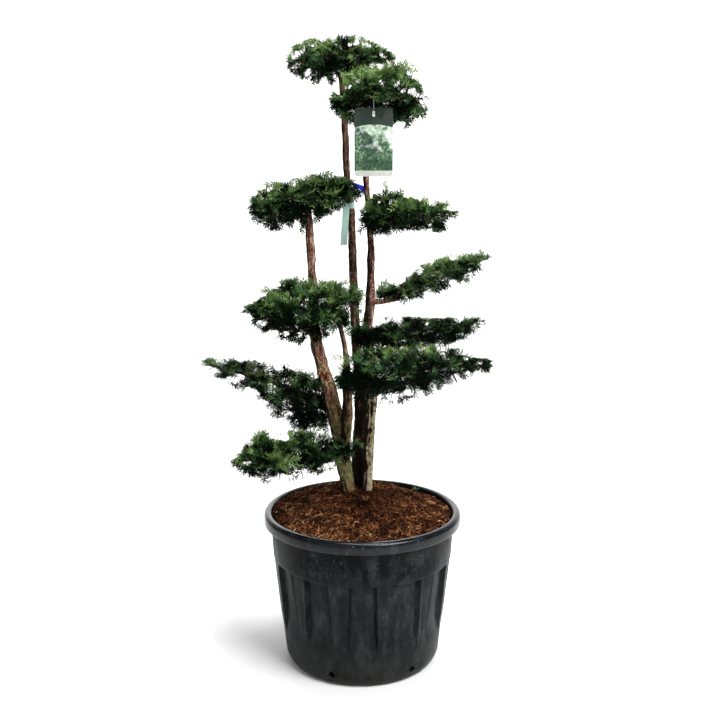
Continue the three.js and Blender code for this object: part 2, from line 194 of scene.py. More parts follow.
def sweep(paths: Array, radii: Array, sides: int) -> tuple[Array, Array, Array, Array]:
    """Closed tubes round many lines at once.

    Args:
        paths: Points of the lines, lines x rings x 3, in millimetres.
        radii: Radius at each ring, lines x rings.
        sides: Faces round each tube.

    Returns:
        Points, four-cornered wall faces, and the faces of the near and the far ends.
    """
    across, other = tube_rings(paths)
    turns = ring_turns(sides)[:, None]
    circle = np.cos(turns) * across[:, :, None, :] + np.sin(turns) * other[:, :, None, :]
    points = paths[:, :, None, :] + radii[:, :, None, None] * circle
    index = np.arange(radii.size * sides).reshape(*radii.shape, sides)
    after = np.roll(index, -1, axis=2)
    walls = np.stack([index[:, :-1], index[:, 1:], after[:, 1:], after[:, :-1]], axis=-1)
    return points, walls.reshape(-1, 4), index[:, 0, :], index[:, -1, ::-1]


@dataclass
class MeshBuffer:
    """Points, in millimetres, and faces gathered for one joined piece."""

    points: list[Array] = field(default_factory=list)
    faces: list[Array] = field(default_factory=list)
    coats: list[int] = field(default_factory=list)
    count: int = 0

    def add(self, points: Array, *faces: Array, coat: int = 0) -> None:
        """Takes in some points and the faces between them.

        Args:
            points: Places, in millimetres.
            faces: Corner numbers, one row a face, each array with one count of corners.
            coat: Number of the material that these faces take.
        """
        flat = points.reshape(-1, 3)
        self.points.append(flat)
        for rows in faces:
            self.faces.append(rows + self.count)
            self.coats.append(coat)
        self.count += len(flat)

    def add_sheet(self, front: Array, back: Array, coat: int = 0) -> None:
        """Takes in a thin sheet with the strips along its two long edges.

        Args:
            front: Points of one side, rows x columns x 3.
            back: Points of the other side.
            coat: Number of the material that the sheet takes.
        """
        rows, columns = front.shape[:2]
        faces, strip = grid_faces(rows, columns, False), grid_faces(rows, 2, False)
        self.add(front, faces, coat=coat)
        self.add(back, faces[:, ::-1], coat=coat)
        for column, turn in ((0, -1), (columns - 1, 1)):
            self.add(np.stack([front[:, column], back[:, column]], axis=1), strip[:, ::turn], coat=coat)

    def make(self, name: str, materials: Sequence[Material], smooth: bool) -> Piece:
        """The gathered mesh as an object in the scene.

        Args:
            name: Name of the piece.
            materials: The piece's materials, in the order of the coats.
            smooth: Whether its faces are shaded as one curved surface.

        Returns:
            The new object.
        """
        mesh = bpy.data.meshes.new(name)
        places = (np.concatenate(self.points) * MM).astype(np.float32)
        corners = np.concatenate([rows.ravel() for rows in self.faces]).astype(np.int32)
        widths = np.concatenate([np.full(len(rows), rows.shape[1]) for rows in self.faces])
        coats = np.concatenate([np.full(len(rows), coat) for rows, coat in zip(self.faces, self.coats)])
        starts = np.concatenate(([0], np.cumsum(widths)[:-1]))
        mesh.vertices.add(len(places))
        mesh.vertices.foreach_set("co", places.ravel())
        mesh.loops.add(len(corners))
        mesh.loops.foreach_set("vertex_index", corners)
        mesh.polygons.add(len(widths))
        mesh.polygons.foreach_set("loop_start", starts.astype(np.int32))
        mesh.polygons.foreach_set("material_index", coats.astype(np.int32))
        mesh.polygons.foreach_set("use_smooth", np.full(len(widths), smooth))
        mesh.update(calc_edges=True)
        mesh.validate()
        for material in materials:
            mesh.materials.append(material)
        piece = bpy.data.objects.new(name, mesh)
        bpy.context.scene.collection.objects.link(piece)
        return piece


def place(piece: Piece, slot: str, *nodes: str) -> None:
    """Sets a piece on the plant and reports it.

    Args:
        piece: The piece.
        slot: Name of the record's material slot; not used.
        nodes: Solids that it stands for.
    """
    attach(piece, BODY)
    if nodes:
        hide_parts(*nodes)
    faces = sum(len(polygon.vertices) - 2 for polygon in piece.data.polygons)
    LOG.info("%s: %d triangles", piece.name, faces)


class ShaderBench:
    """Lays out the nodes of one material round its main shader."""

    bump_strength = 0.7

    def __init__(self, name: str, **inputs: float | Sequence[float]) -> None:
        """Starts a material with its main shader.

        Args:
            name: Name of the material.
            inputs: Even inputs of the main shader.
        """
        self.material = bpy.data.materials.new(name)
        self.material.use_nodes = True
        self.tree = self.material.node_tree
        self.shader = self.tree.nodes["Principled BSDF"]
        self.place = self.tree.nodes.new("ShaderNodeTexCoord").outputs["Object"]
        self.fill(self.shader, **inputs)

    def wire(self, source: Socket, target: Socket) -> None:
        """Links one socket to another."""
        self.tree.links.new(source, target)

    def fill(self, node: Node, **inputs: Socket | float | Sequence[float]) -> Node:
        """Links or sets the inputs of a node.

        Args:
            node: The node.
            inputs: A socket or an even value for each input, with _ for a blank in its name.

        Returns:
            The same node.
        """
        for name, value in inputs.items():
            target = node.inputs[name.replace("_", " ")]
            if isinstance(value, Socket):
                self.wire(value, target)
            else:
                target.default_value = value
        return node

    def node(self, kind: str, **inputs: Socket | float | Sequence[float]) -> Node:
        """A new node of a kind, with its inputs filled."""
        return self.fill(self.tree.nodes.new("ShaderNode" + kind), **inputs)

    def noise(self, scale: float, stretch: Sequence[float] = (1, 1, 1), detail: float = 4.0,
              rough: float = 0.55) -> Socket:
        """Cloudy noise: waves in a metre, their share along each axis, and the finer layers and their strength."""
        spread = self.node("Mapping", Vector=self.place, Scale=stretch).outputs["Vector"]
        return self.node("TexNoise", Vector=spread, Scale=scale, Detail=detail, Roughness=rough).outputs["Fac"]

    def ramp(self, source: Socket, *stops: tuple[float, Colour]) -> Socket:
        """Colours, or greys, along a value.

        Args:
            source: The value, from 0 to 1.
            stops: Places along it and the colour at each.

        Returns:
            The colour.
        """
        node = self.node("ValToRGB", Fac=source)
        bar = node.color_ramp.elements
        while len(bar) < len(stops):
            bar.new(0.5)
        for element, (spot, colour) in zip(bar, stops):
            element.position = spot
            element.color = (*colour, 1.0)
        return node.outputs["Color"]

    def span(self, source: Socket, low: float, high: float, to_low: float = 0.0, to_high: float = 1.0) -> Socket:
        """A value's range, from low to high, carried to another range and held there."""
        ends = {"From_Min": low, "From_Max": high, "To_Min": to_low, "To_Max": to_high}
        return self.node("MapRange", Value=source, **ends).outputs["Result"]

    def height(self, low: float, high: float) -> Socket:
        """0 to 1 between two heights above the floor, in metres."""
        return self.span(self.node("SeparateXYZ", Vector=self.place).outputs["Z"], low, high)

    def below(self, low: float, high: float, most: float = 1.0) -> Socket:
        """The most at the lower of two heights, and 0 at the higher one."""
        return self.span(self.height(low, high), 0.0, 1.0, most, 0.0)

    def facing(self) -> Socket:
        """How far the surface turns to the plant's right, from -1 to 1."""
        return self.node("SeparateXYZ", Vector=self.place.node.outputs["Normal"]).outputs["X"]

    def times(self, first: Socket, second: Socket, operation: str = "MULTIPLY") -> Socket:
        """Product, or another result, of two values that both change over the surface.

        Args:
            first: One value.
            second: The other.
            operation: What is done with them.

        Returns:
            The result.
        """
        node = self.node("Math")
        node.operation = operation
        self.wire(first, node.inputs[0])
        self.wire(second, node.inputs[1])
        return node.outputs["Value"]

    def blend(self, share: Socket, first: Socket, second: Socket) -> Socket:
        """Passes from one colour to another by a share.

        Args:
            share: 0 for the first colour, 1 for the second.
            first: One colour.
            second: The other.

        Returns:
            The colour.
        """
        node = self.node("Mix")
        node.data_type = "RGBA"
        self.wire(share, node.inputs["Factor"])
        self.wire(first, node.inputs[6])
        self.wire(second, node.inputs[7])
        return node.outputs[2]

    def finish(self, colour: Socket, rough: Socket | None = None, relief: Socket | None = None,
               depth: float = 0.001) -> Material:
        """Wires colour, roughness and relief to the main shader.

        Args:
            colour: The base colour.
            rough: The roughness, where it changes over the surface.
            relief: Height of the fine relief, where there is one.
            depth: Depth of the relief, in metres.

        Returns:
            The material.
        """
        self.fill(self.shader, Base_Color=colour)
        if rough is not None:
            self.fill(self.shader, Roughness=rough)
        if relief is not None:
            bump = self.node("Bump", Distance=depth, Strength=self.bump_strength, Height=relief)
            self.fill(self.shader, Normal=bump.outputs["Normal"])
        return self.material


@dataclass(frozen=True)
class PotPlastic:
    """Black satin nursery plastic with a dusty film, dark runs and painted shade below the rim, and fine scuffs."""

    name: str = "pot_plastic"
    gloss: float = 0.055
    worn: tuple[float, float] = (0.28, 0.50)
    # Near-black of the wet runs and stains, also used as the painted shade under the rim.
    wet_and_shade: Colour = (0.0012, 0.0012, 0.0013)
    dark: Colour = (0.0034, 0.0044, 0.005)
    plain: Colour = (0.0122, 0.0142, 0.0148)
    dust: Colour = (0.037, 0.041, 0.042)
    speck: Colour = (0.15, 0.158, 0.165)
    earth: Colour = (0.04, 0.033, 0.025)

    def material(self) -> Material:
        """The pot's material.

        Returns:
            The material.
        """
        bench = ShaderBench(self.name, Specular_IOR_Level=self.gloss)
        wash = bench.noise(5.0, (1, 1, 0.5), 6.0)
        grain = bench.noise(24.0, (1, 1, 0.4), 9.0, 0.78)
        body = bench.ramp(wash, (0.30, self.dark), (0.55, self.plain), (0.85, self.plain))
        film = bench.ramp(grain, (0.42, self.dark), (0.50, self.plain), (0.62, self.dust))
        coloured = bench.blend(bench.span(wash, 0.35, 0.75, 0.25, 0.9), body, film)
        runs = bench.span(bench.noise(26.0, (1, 1, 0.22), 5.0), 0.42, 0.56)
        # Painted shade: streaky runs darken the collar more and more towards the rim's underside, where the
        # overhang's shadow falls; partly wet runs, partly painted shade.
        runs_and_rim_shade = bench.times(bench.height(0.36, 0.47), runs)
        coloured = bench.blend(runs_and_rim_shade, coloured, bench.ramp(wash, (0.2, self.wet_and_shade), (0.8, self.dark)))
        spots = bench.span(bench.noise(150.0, (1, 1, 0.7), 5.0, 0.7), 0.60, 0.68)
        splashed = bench.times(bench.span(bench.noise(9.0), 0.48, 0.62), bench.height(0.35, 0.42))
        specks = bench.ramp(wash, (0.2, self.dust), (0.7, self.speck))
        coloured = bench.blend(bench.times(spots, splashed), coloured, specks)
        stains = bench.span(bench.noise(30.0, (1, 1, 0.55), 7.0, 0.72), 0.46, 0.51)
        here = bench.span(bench.noise(7.0, detail=2.0), 0.38, 0.52)
        stained = bench.times(stains, bench.times(bench.height(0.34, 0.42), here))
        coloured = bench.blend(stained, coloured, bench.ramp(wash, (0.4, self.wet_and_shade), (1.0, self.dark)))
        splash = bench.times(bench.below(0.0, 0.16, 0.75), bench.noise(14.0, detail=6.0))
        soiled = bench.ramp(bench.noise(40.0), (0.3, self.plain), (0.7, self.earth))
        colour = bench.blend(splash, coloured, soiled)
        rough = bench.span(bench.noise(18.0, (1, 1, 0.5), 6.0), 0.3, 0.7, *self.worn)
        return bench.finish(colour, rough, bench.noise(380.0, detail=3.0), 0.00025)


@dataclass(frozen=True)
class BarkSkin:
    """Flaking yew bark: red-brown with pale flecks above, rimmed plates and crusts near the ground, with painted
    shade on the side turned from the key light and crust on the lit side only.
    """

    name: str
    gap: Colour = (0.004, 0.0025, 0.002)
    strip: Colour = (0.14, 0.056, 0.037)
    shaded: Colour = (0.022, 0.009, 0.007)
    fleck: Colour = (0.6, 0.43, 0.34)
    plate: Colour = (0.2, 0.056, 0.028)
    rim: Colour = (0.45, 0.375, 0.205)
    crust: Colour = (0.212, 0.236, 0.082)
    speck: Colour = (0.014, 0.009, 0.006)
    crown: Colour = (0.23, 0.108, 0.066)
    crust_low: float = 0.66
    crust_top: float = 0.98
    plate_top: float = 1.20
    crown_low: float = 1.56
    crown_top: float = 1.72
    # Facing, to the plant's right, over which the painted shade gives way to the lit side.
    shade_from: float = -0.90
    shade_to: float = -0.10

    def material(self) -> Material:
        """The bark's material.

        Returns:
            The material.
        """
        bench = ShaderBench(self.name, Specular_IOR_Level=0.12)
        streak = bench.noise(135.0, (1, 1, 0.12), 5.0, 0.6)
        upper = bench.ramp(streak, (0.38, self.gap), (0.45, self.strip), (0.56, self.strip), (0.64, self.fleck))
        high = bench.ramp(streak, (0.36, self.shaded), (0.44, self.crown), (0.56, self.crown), (0.64, self.fleck))
        upper = bench.blend(bench.height(self.crown_low, self.crown_top), upper, high)
        dots = bench.span(bench.noise(260.0, (1, 1, 0.42), 3.0, 0.6), 0.57, 0.62)
        upper = bench.blend(dots, upper, bench.ramp(streak, (0.35, self.strip), (0.55, self.fleck)))
        patch = bench.noise(17.0, (1, 1, 0.6), 5.0)
        # Painted shade: surfaces turned away from the key light on the plant's right are darkened, with a ragged
        # edge, in the upper bark and the plates alike.
        ragged = bench.span(bench.noise(46.0, (1, 1, 0.5), 6.0, 0.65), 0.3, 0.7, -0.45, 0.45)
        painted_light_side = bench.span(bench.times(bench.facing(), ragged, "ADD"), self.shade_from, self.shade_to)
        upper = bench.blend(painted_light_side, bench.ramp(streak, (0.45, self.gap), (0.60, self.shaded)), upper)
        net = bench.noise(44.0, (1, 1, 0.6), 4.0, 0.55)
        plates = bench.ramp(net, (0.36, self.gap), (0.41, self.plate), (0.475, self.plate), (0.495, self.rim),
                            (0.525, self.rim), (0.545, self.gap), (0.58, self.plate), (0.68, self.rim))
        plates = bench.blend(painted_light_side, bench.ramp(net, (0.42, self.gap), (0.58, self.shaded)), plates)
        spots = bench.noise(115.0, (1, 1, 0.65), 6.0, 0.75)
        crusts = bench.ramp(spots, (0.445, self.speck), (0.475, self.crust), (0.56, self.crust), (0.62, self.rim))
        # Crust shows only on the lit side: partly lichen, partly painted light.
        crusted = bench.times(bench.span(patch, 0.31, 0.47), painted_light_side)
        crusted = bench.times(crusted, bench.below(self.crust_low, self.crust_top))
        plated = bench.times(bench.below(self.crust_top, self.plate_top), bench.span(patch, 0.30, 0.46))
        colour = bench.blend(crusted, bench.blend(plated, upper, plates), crusts)
        return bench.finish(colour, bench.span(streak, 0.3, 0.7, 0.95, 0.7), streak, 0.0016)


@dataclass(frozen=True)
class TwigSkin:
    """Young twigs, green where new and brown where they turn to wood."""

    wood: Colour = (0.03, 0.016, 0.01)
    green: Colour = (0.026, 0.036, 0.01)

    def material(self) -> Material:
        """The twigs' material.

        Returns:
            The material.
        """
        bench = ShaderBench("twig_skin", Specular_IOR_Level=0.08, Roughness=0.85)
        grain = bench.noise(45.0, detail=5.0)
        return bench.finish(bench.ramp(grain, (0.38, self.wood), (0.66, self.green)), None, grain, 0.0006)


class Shade(Enum):
    """Greens of needle: painted shade on a pad's inside and underside, painted light on its upper tips, and a
    fresher green towards each shoot's newest tips.
    """

    DEEP = 0
    LEAF = 1
    FRESH = 2
    PALE = 3


@dataclass(frozen=True)
class NeedleGreen:
    """One plain green of the needles, dealt out spray by spray."""

    shade: Shade
    colour: Colour
    rough: float
    sheen: float

    def material(self) -> Material:
        """The material of this shade."""
        inputs = {"Base_Color": (*self.colour, 1.0), "Roughness": self.rough, "Specular_IOR_Level": self.sheen}
        return ShaderBench("needle_" + self.shade.name.lower(), **inputs).material


# The deep green is near-black, painted shade for the inside and underside of the pads; the fresh and pale greens
# carry the painted light on the upper tips as well as new growth.
NEEDLE_GREENS = (
    NeedleGreen(Shade.DEEP, (0.0018, 0.0062, 0.0026), 0.70, 0.02),
    NeedleGreen(Shade.LEAF, (0.012, 0.042, 0.0145), 0.55, 0.08),
    NeedleGreen(Shade.FRESH, (0.048, 0.112, 0.03), 0.50, 0.14),
    NeedleGreen(Shade.PALE, (0.145, 0.23, 0.066), 0.50, 0.16),
)


@dataclass(frozen=True)
class MulchFibre:
    """One tone of the coir and bark fibre on the pot."""

    name: str
    dark: Colour
    light: Colour

    def material(self) -> Material:
        """The fibre's material.

        Returns:
            The material.
        """
        bench = ShaderBench("mulch_" + self.name, Specular_IOR_Level=0.05, Roughness=0.95)
        grain = bench.noise(90.0, detail=6.0, rough=0.65)
        colour = bench.ramp(grain, (0.34, self.dark), (0.66, self.light))
        return bench.finish(colour, None, bench.noise(420.0, detail=3.0), 0.0012)


@dataclass(frozen=True)
class TrimPlastic:
    """Soft tinted plastic of the ribbon, the tie and the label's plain parts."""

    name: str
    tint: Colour
    shaded: Colour
    rough: float = 0.42

    def material(self) -> Material:
        """The plastic's material.

        Returns:
            The material.
        """
        bench = ShaderBench(self.name, Specular_IOR_Level=0.3, Roughness=self.rough)
        colour = bench.ramp(bench.noise(38.0), (0.30, self.shaded), (0.62, self.tint))
        return bench.finish(colour, None, bench.noise(160.0, detail=3.0), 0.0003)


@dataclass(frozen=True)
class LeafPrint:
    """A plain garden print: soft patches of green that thin out to a pale ground."""

    deep: Colour = (0.012, 0.022, 0.019)
    green: Colour = (0.048, 0.11, 0.056)
    light: Colour = (0.27, 0.39, 0.23)
    pale: Colour = (0.56, 0.6, 0.6)

    def material(self) -> Material:
        """The print's material.

        Returns:
            The material.
        """
        bench = ShaderBench("label_print", Specular_IOR_Level=0.3, Roughness=0.38)
        speckle = bench.noise(190.0, (1, 1, 0.6), 6.0, 0.75)
        leaves = bench.ramp(speckle, (0.36, self.deep), (0.50, self.green), (0.62, self.light), (0.74, self.pale))
        shadow = bench.ramp(speckle, (0.42, self.deep), (0.62, self.green))
        massed = bench.blend(bench.span(bench.noise(24.0, detail=3.0), 0.42, 0.56), shadow, leaves)
        sky = bench.ramp(bench.noise(70.0, detail=5.0), (0.35, self.light), (0.58, self.pale))
        drift = bench.span(bench.times(bench.noise(30.0, detail=5.0), bench.height(1.60, 1.86)), 0.34, 0.43)
        return bench.finish(bench.blend(drift, massed, sky))


@dataclass(frozen=True)
class FloorPaper:
    """Plain pale studio paper."""

    light: Colour = (0.86, 0.86, 0.86)
    shaded: Colour = (0.83, 0.83, 0.83)

    def material(self) -> Material:
        """The floor's material."""
        bench = ShaderBench("studio_paper", Specular_IOR_Level=0.2, Roughness=0.9)
        return bench.finish(bench.ramp(bench.noise(1.5), (0.3, self.shaded), (0.7, self.light)))


POT_PLASTICS = (
    PotPlastic(),
    PotPlastic("pot_rim", 0.24, (0.16, 0.28), dark=(0.002, 0.005, 0.008), plain=(0.006, 0.011, 0.016)),
)
STRAND_FIBRES = (
    (0.40, MulchFibre("umber", (0.002, 0.001, 0.0007), (0.013, 0.005, 0.003))),
    (0.78, MulchFibre("russet", (0.05, 0.017, 0.007), (0.165, 0.058, 0.021))),
    (0.95, MulchFibre("copper", (0.215, 0.082, 0.03), (0.5, 0.212, 0.082))),
    (1.01, MulchFibre("straw", (0.45, 0.24, 0.112), (0.76, 0.45, 0.232))),
)
# The bed shows only between the strands; its near-black is dark soil and painted shade in those gaps.
BED_FIBRE = MulchFibre("bed", (0.002, 0.001, 0.0008), (0.014, 0.0055, 0.003))
CHIP_FIBRE = MulchFibre("chip", (0.014, 0.006, 0.003), (0.09, 0.036, 0.016))
SPRIG_FIBRE = MulchFibre("sprig", (0.23, 0.16, 0.05), (0.42, 0.32, 0.12))
LABEL_HEAD = TrimPlastic("label_head", (0.022, 0.03, 0.025), (0.005, 0.02, 0.013), 0.5)
LABEL_FOOT = TrimPlastic("label_foot", (0.42, 0.44, 0.39), (0.33, 0.36, 0.31), 0.4)
LABEL_STRAP = TrimPlastic("label_strap", (0.3, 0.35, 0.3), (0.1, 0.14, 0.11))
LABEL_SLOT = TrimPlastic("label_slot", (0.72, 0.82, 0.76), (0.6, 0.72, 0.64))
RIBBON_MINT = TrimPlastic("ribbon_mint", (0.66, 0.93, 0.82), (0.52, 0.85, 0.72), 0.4)
TIE_BLUE = TrimPlastic("tie_blue", (0.016, 0.034, 0.85), (0.008, 0.016, 0.5), 0.4)
BARKS = {
    "stem_left": BarkSkin("yew_bark", gap=(0.008, 0.006, 0.004), shaded=(0.05, 0.034, 0.019)).material(),
    # Painted shade: the middle stem's plates, rims and crust are near-black, as it stands in the shade behind the
    # other stems.
    "stem_centre": BarkSkin(
        "yew_bark_inner", plate=(0.02, 0.009, 0.006), rim=(0.036, 0.02, 0.013),
        crust=(0.01, 0.007, 0.005), crust_low=0.75, crust_top=1.00, plate_top=1.12).material(),
    # Painted shade covers most of the slim stem's round; its strips and flecks are darker too.
    "stem_slim": BarkSkin(
        "yew_bark_slim", strip=(0.085, 0.036, 0.024), fleck=(0.42, 0.3, 0.23), shade_from=-0.3,
        shade_to=0.7).material(),
    # The right stem's pale cream crust shows on its lit side only, partly lichen and partly painted light, with
    # painted shade on the side away from the key light.
    "stem_right": BarkSkin(
        "yew_bark_pale", plate=(0.085, 0.037, 0.021), rim=(0.72, 0.65, 0.47),
        crust=(0.54, 0.49, 0.29), crust_low=0.80, crust_top=1.06, plate_top=1.25, shade_from=-0.30,
        shade_to=0.40).material(),
}
TWIG = TwigSkin().material()
NEEDLES = [green.material() for green in NEEDLE_GREENS]


@dataclass
class NurseryPot:
    """The round pot: rolled rim, collar, tapered body with flat pilasters, and drain holes."""

    height: float = 539
    rim_radius: float = 344
    rim_drop: float = 41
    mouth_radius: float = 316
    collar_top: float = 320
    collar_foot: float = 313
    collar_z: float = 385
    body_top: float = 308
    body_top_z: float = 378
    body_foot: float = 272
    body_foot_z: float = 34
    foot_radius: float = 240
    floor: float = 8
    middle_radius: float = 150
    panels: int = 12
    pilaster_top: float = 68
    pilaster_foot: float = 44
    pilaster_edge: Rows = (
        (-13.0, 1.0), (-9.0, 1.1), (-5.0, 1.2), (-3.4, 0.95), (-2.0, 0.45), (-0.8, 0.0), (0.6, -0.16),
        (2.4, -0.20), (4.6, -0.12), (8.0, 0.0),
    )
    pilaster_depth: float = 12.5
    groove_foot: tuple[float, float] = (105, 205)
    groove_top: tuple[float, float] = (367.5, 375.5)
    ripple: float = 0.8
    ripple_round: float = 1.4
    ripple_tall: float = 160
    ripple_from: float = 255
    ripple_seed: int = 5
    drain_count: int = 6
    drain_turn: float = -22
    drain_side: float = 20
    drain_z: float = 42
    drain_reach: float = 60
    recess_columns: int = 5
    face_columns: int = 3
    crease: float = 50

    def outside_rings(self) -> list[Sequence[float]]:
        """Radius and height of the rings from the underside's middle up over the rim.

        Returns:
            The rings, in millimetres.
        """
        top, foot, side = self.height, self.height - self.rim_drop, self.rim_radius
        lower = [(self.middle_radius, 0), (self.foot_radius, 0), (250, 2.5), (258, 8), (264, 16), (268.5, 25)]
        wall_z = [34, 50, 70, 90, 105, 112, 119, 126, 133, 140, 145, 160, 180, 205, 230, 255, 280, 305, 330,
                  345, 355, 361, 366, 369, 371, 373, 375, 378]
        wall_ends, wall_radii = (self.body_foot_z, self.body_top_z), (self.body_foot, self.body_top)
        wall = [(np.interp(z, wall_ends, wall_radii), z) for z in wall_z]
        step = [(310.5, 379.5), (312.4, 382), (self.collar_foot, self.collar_z), (313.4, 392)]
        collar_ends, collar_radii = (self.collar_z, foot), (self.collar_foot, self.collar_top)
        collar = [(np.interp(z, collar_ends, collar_radii), z) for z in (405, 430, 455, 480, 492, foot - 1)]
        rim = [(322, foot), (337, foot), (341, foot + 0.8), (343.4, foot + 2.6), (side, foot + 5.5),
               (side, foot + 16), (343.8, top - 14), (342.6, top - 8.5), (340, top - 4.8), (336, top - 2),
               (331, top - 0.4), (327, top), (323, top - 0.8), (319.6, top - 3)]
        return lower + wall + step + collar + rim

    def inside_rings(self) -> list[Sequence[float]]:
        """Profile from the mouth down to the inside floor.

        Returns:
            Radius and height of each ring.
        """
        return [(317.4, self.height - 6.5), (self.mouth_radius, self.height - 13), (315, 490), (313.4, 440),
                (self.mouth_radius - 4, 392), (287, 368), (256, 60), (self.foot_radius, self.floor),
                (self.middle_radius, self.floor)]

    def columns(self, z: Array) -> tuple[Array, Array]:
        """Angles of the upright columns at each height, and how far each is sunk.

        Args:
            z: Heights of the rings.

        Returns:
            Angles, rings x columns, and the sunk share of each column.
        """
        half_pitch, start = math.pi / self.panels, self.groove_foot[0]
        rise = np.clip((z - start) / (self.collar_z - start), 0, 1)
        half = (self.pilaster_foot + (self.pilaster_top - self.pilaster_foot) * rise) / 2 / self.body_top
        edges = [half_pitch - half + offset / self.body_top for offset, _ in self.pilaster_edge]
        recess = [edges[0] * i / self.recess_columns for i in range(self.recess_columns)]
        face = [edges[-1] + (half_pitch - edges[-1]) * i / self.face_columns for i in range(1, self.face_columns)]
        sunk = [1.0] * len(recess) + [share for _, share in self.pilaster_edge] + [0.0] * len(face)
        rising = np.stack(recess + edges + face, axis=1)
        middle = np.full((len(z), 1), half_pitch)
        one = np.concatenate([rising, middle, 2.0 * half_pitch - rising[:, :0:-1]], axis=1)
        angles = np.concatenate([one + panel * 2.0 * half_pitch for panel in range(self.panels)], axis=1)
        return angles, np.tile(np.array(sunk + [0.0] + sunk[:0:-1]), self.panels)

    def groove(self, z: Array) -> Array:
        """Share of the full depth that the recesses have at some heights."""
        return smooth_step(*self.groove_foot, z) * (1.0 - smooth_step(*self.groove_top, z))

    def shell(self) -> Piece:
        """The pot without its drain holes.

        Returns:
            The object.
        """
        outside, inside = np.array(self.outside_rings(), float), np.array(self.inside_rings(), float)
        radius, z = np.hsplit(np.concatenate([outside, inside]), 2)
        rings = len(z)
        depth = np.concatenate([self.groove(outside[:, 1:]), np.zeros((len(inside), 1))])
        angles, sunk = self.columns(z[:, 0])
        away = radius - self.pilaster_depth * depth * sunk
        spots = xyz(np.sin(angles) * self.ripple_round, np.cos(angles) * self.ripple_round, z / self.ripple_tall)
        away += np.where(radius > self.ripple_from, self.ripple, 0.0) * GrainNoise(self.ripple_seed).at(spots)
        ring = np.arange(angles.shape[1])
        faces = grid_faces(rings, len(ring), True)
        on_rim = z[:, 0] >= self.height - self.rim_drop
        rim = np.repeat(on_rim[:-1] & on_rim[1:], len(ring))
        buffer = MeshBuffer()
        buffer.add(xyz(away * np.sin(angles), -away * np.cos(angles), z), faces[~rim],
                   np.stack([ring[::-1], ring + (rings - 1) * len(ring)]))
        buffer.faces.append(faces[rim])
        buffer.coats.append(1)
        return buffer.make("nursery_pot", [plastic.material() for plastic in POT_PLASTICS], True)

    def drain(self, number: int) -> Piece:
        """The body that cuts one diamond drain hole.

        Args:
            number: Which hole, from 0.

        Returns:
            The object.
        """
        turn = math.radians(self.drain_turn) + number * TURN / self.drain_count
        reach, corner = self.drain_reach / 2, self.drain_side / math.sqrt(2.0)
        ring = ((corner, 0), (0, corner), (-corner, 0), (0, -corner))
        x, y, z = np.array([(a, -self.body_foot + b, self.drain_z + c) for b in (-reach, reach) for a, c in ring]).T
        spun = xyz(x * math.cos(turn) - y * math.sin(turn), x * math.sin(turn) + y * math.cos(turn), z)
        walls = [[i, i + 4, (i + 1) % 4 + 4, (i + 1) % 4] for i in range(4)]
        buffer = MeshBuffer()
        buffer.add(spun, np.array([[0, 1, 2, 3], [7, 6, 5, 4], *walls]))
        return buffer.make("drain_cut", [], False)

    def build(self) -> None:
        """Cuts the drain holes and sets the pot in place of its solid."""
        pot = self.shell()
        cuts = [self.drain(number) for number in range(self.drain_count)]
        for cut in cuts:
            bite = pot.modifiers.new("drain", "BOOLEAN")
            bite.operation = "DIFFERENCE"
            bite.object = cut
        bpy.context.view_layer.update()
        graph = bpy.context.evaluated_depsgraph_get()
        cut_mesh = bpy.data.meshes.new_from_object(pot.evaluated_get(graph))
        pot.modifiers.clear()
        pot.data = cut_mesh
        for cut in cuts:
            bpy.data.objects.remove(cut)
        cut_mesh.set_sharp_from_angle(angle=math.radians(self.crease))
        place(pot, "pot_plastic", "pot")


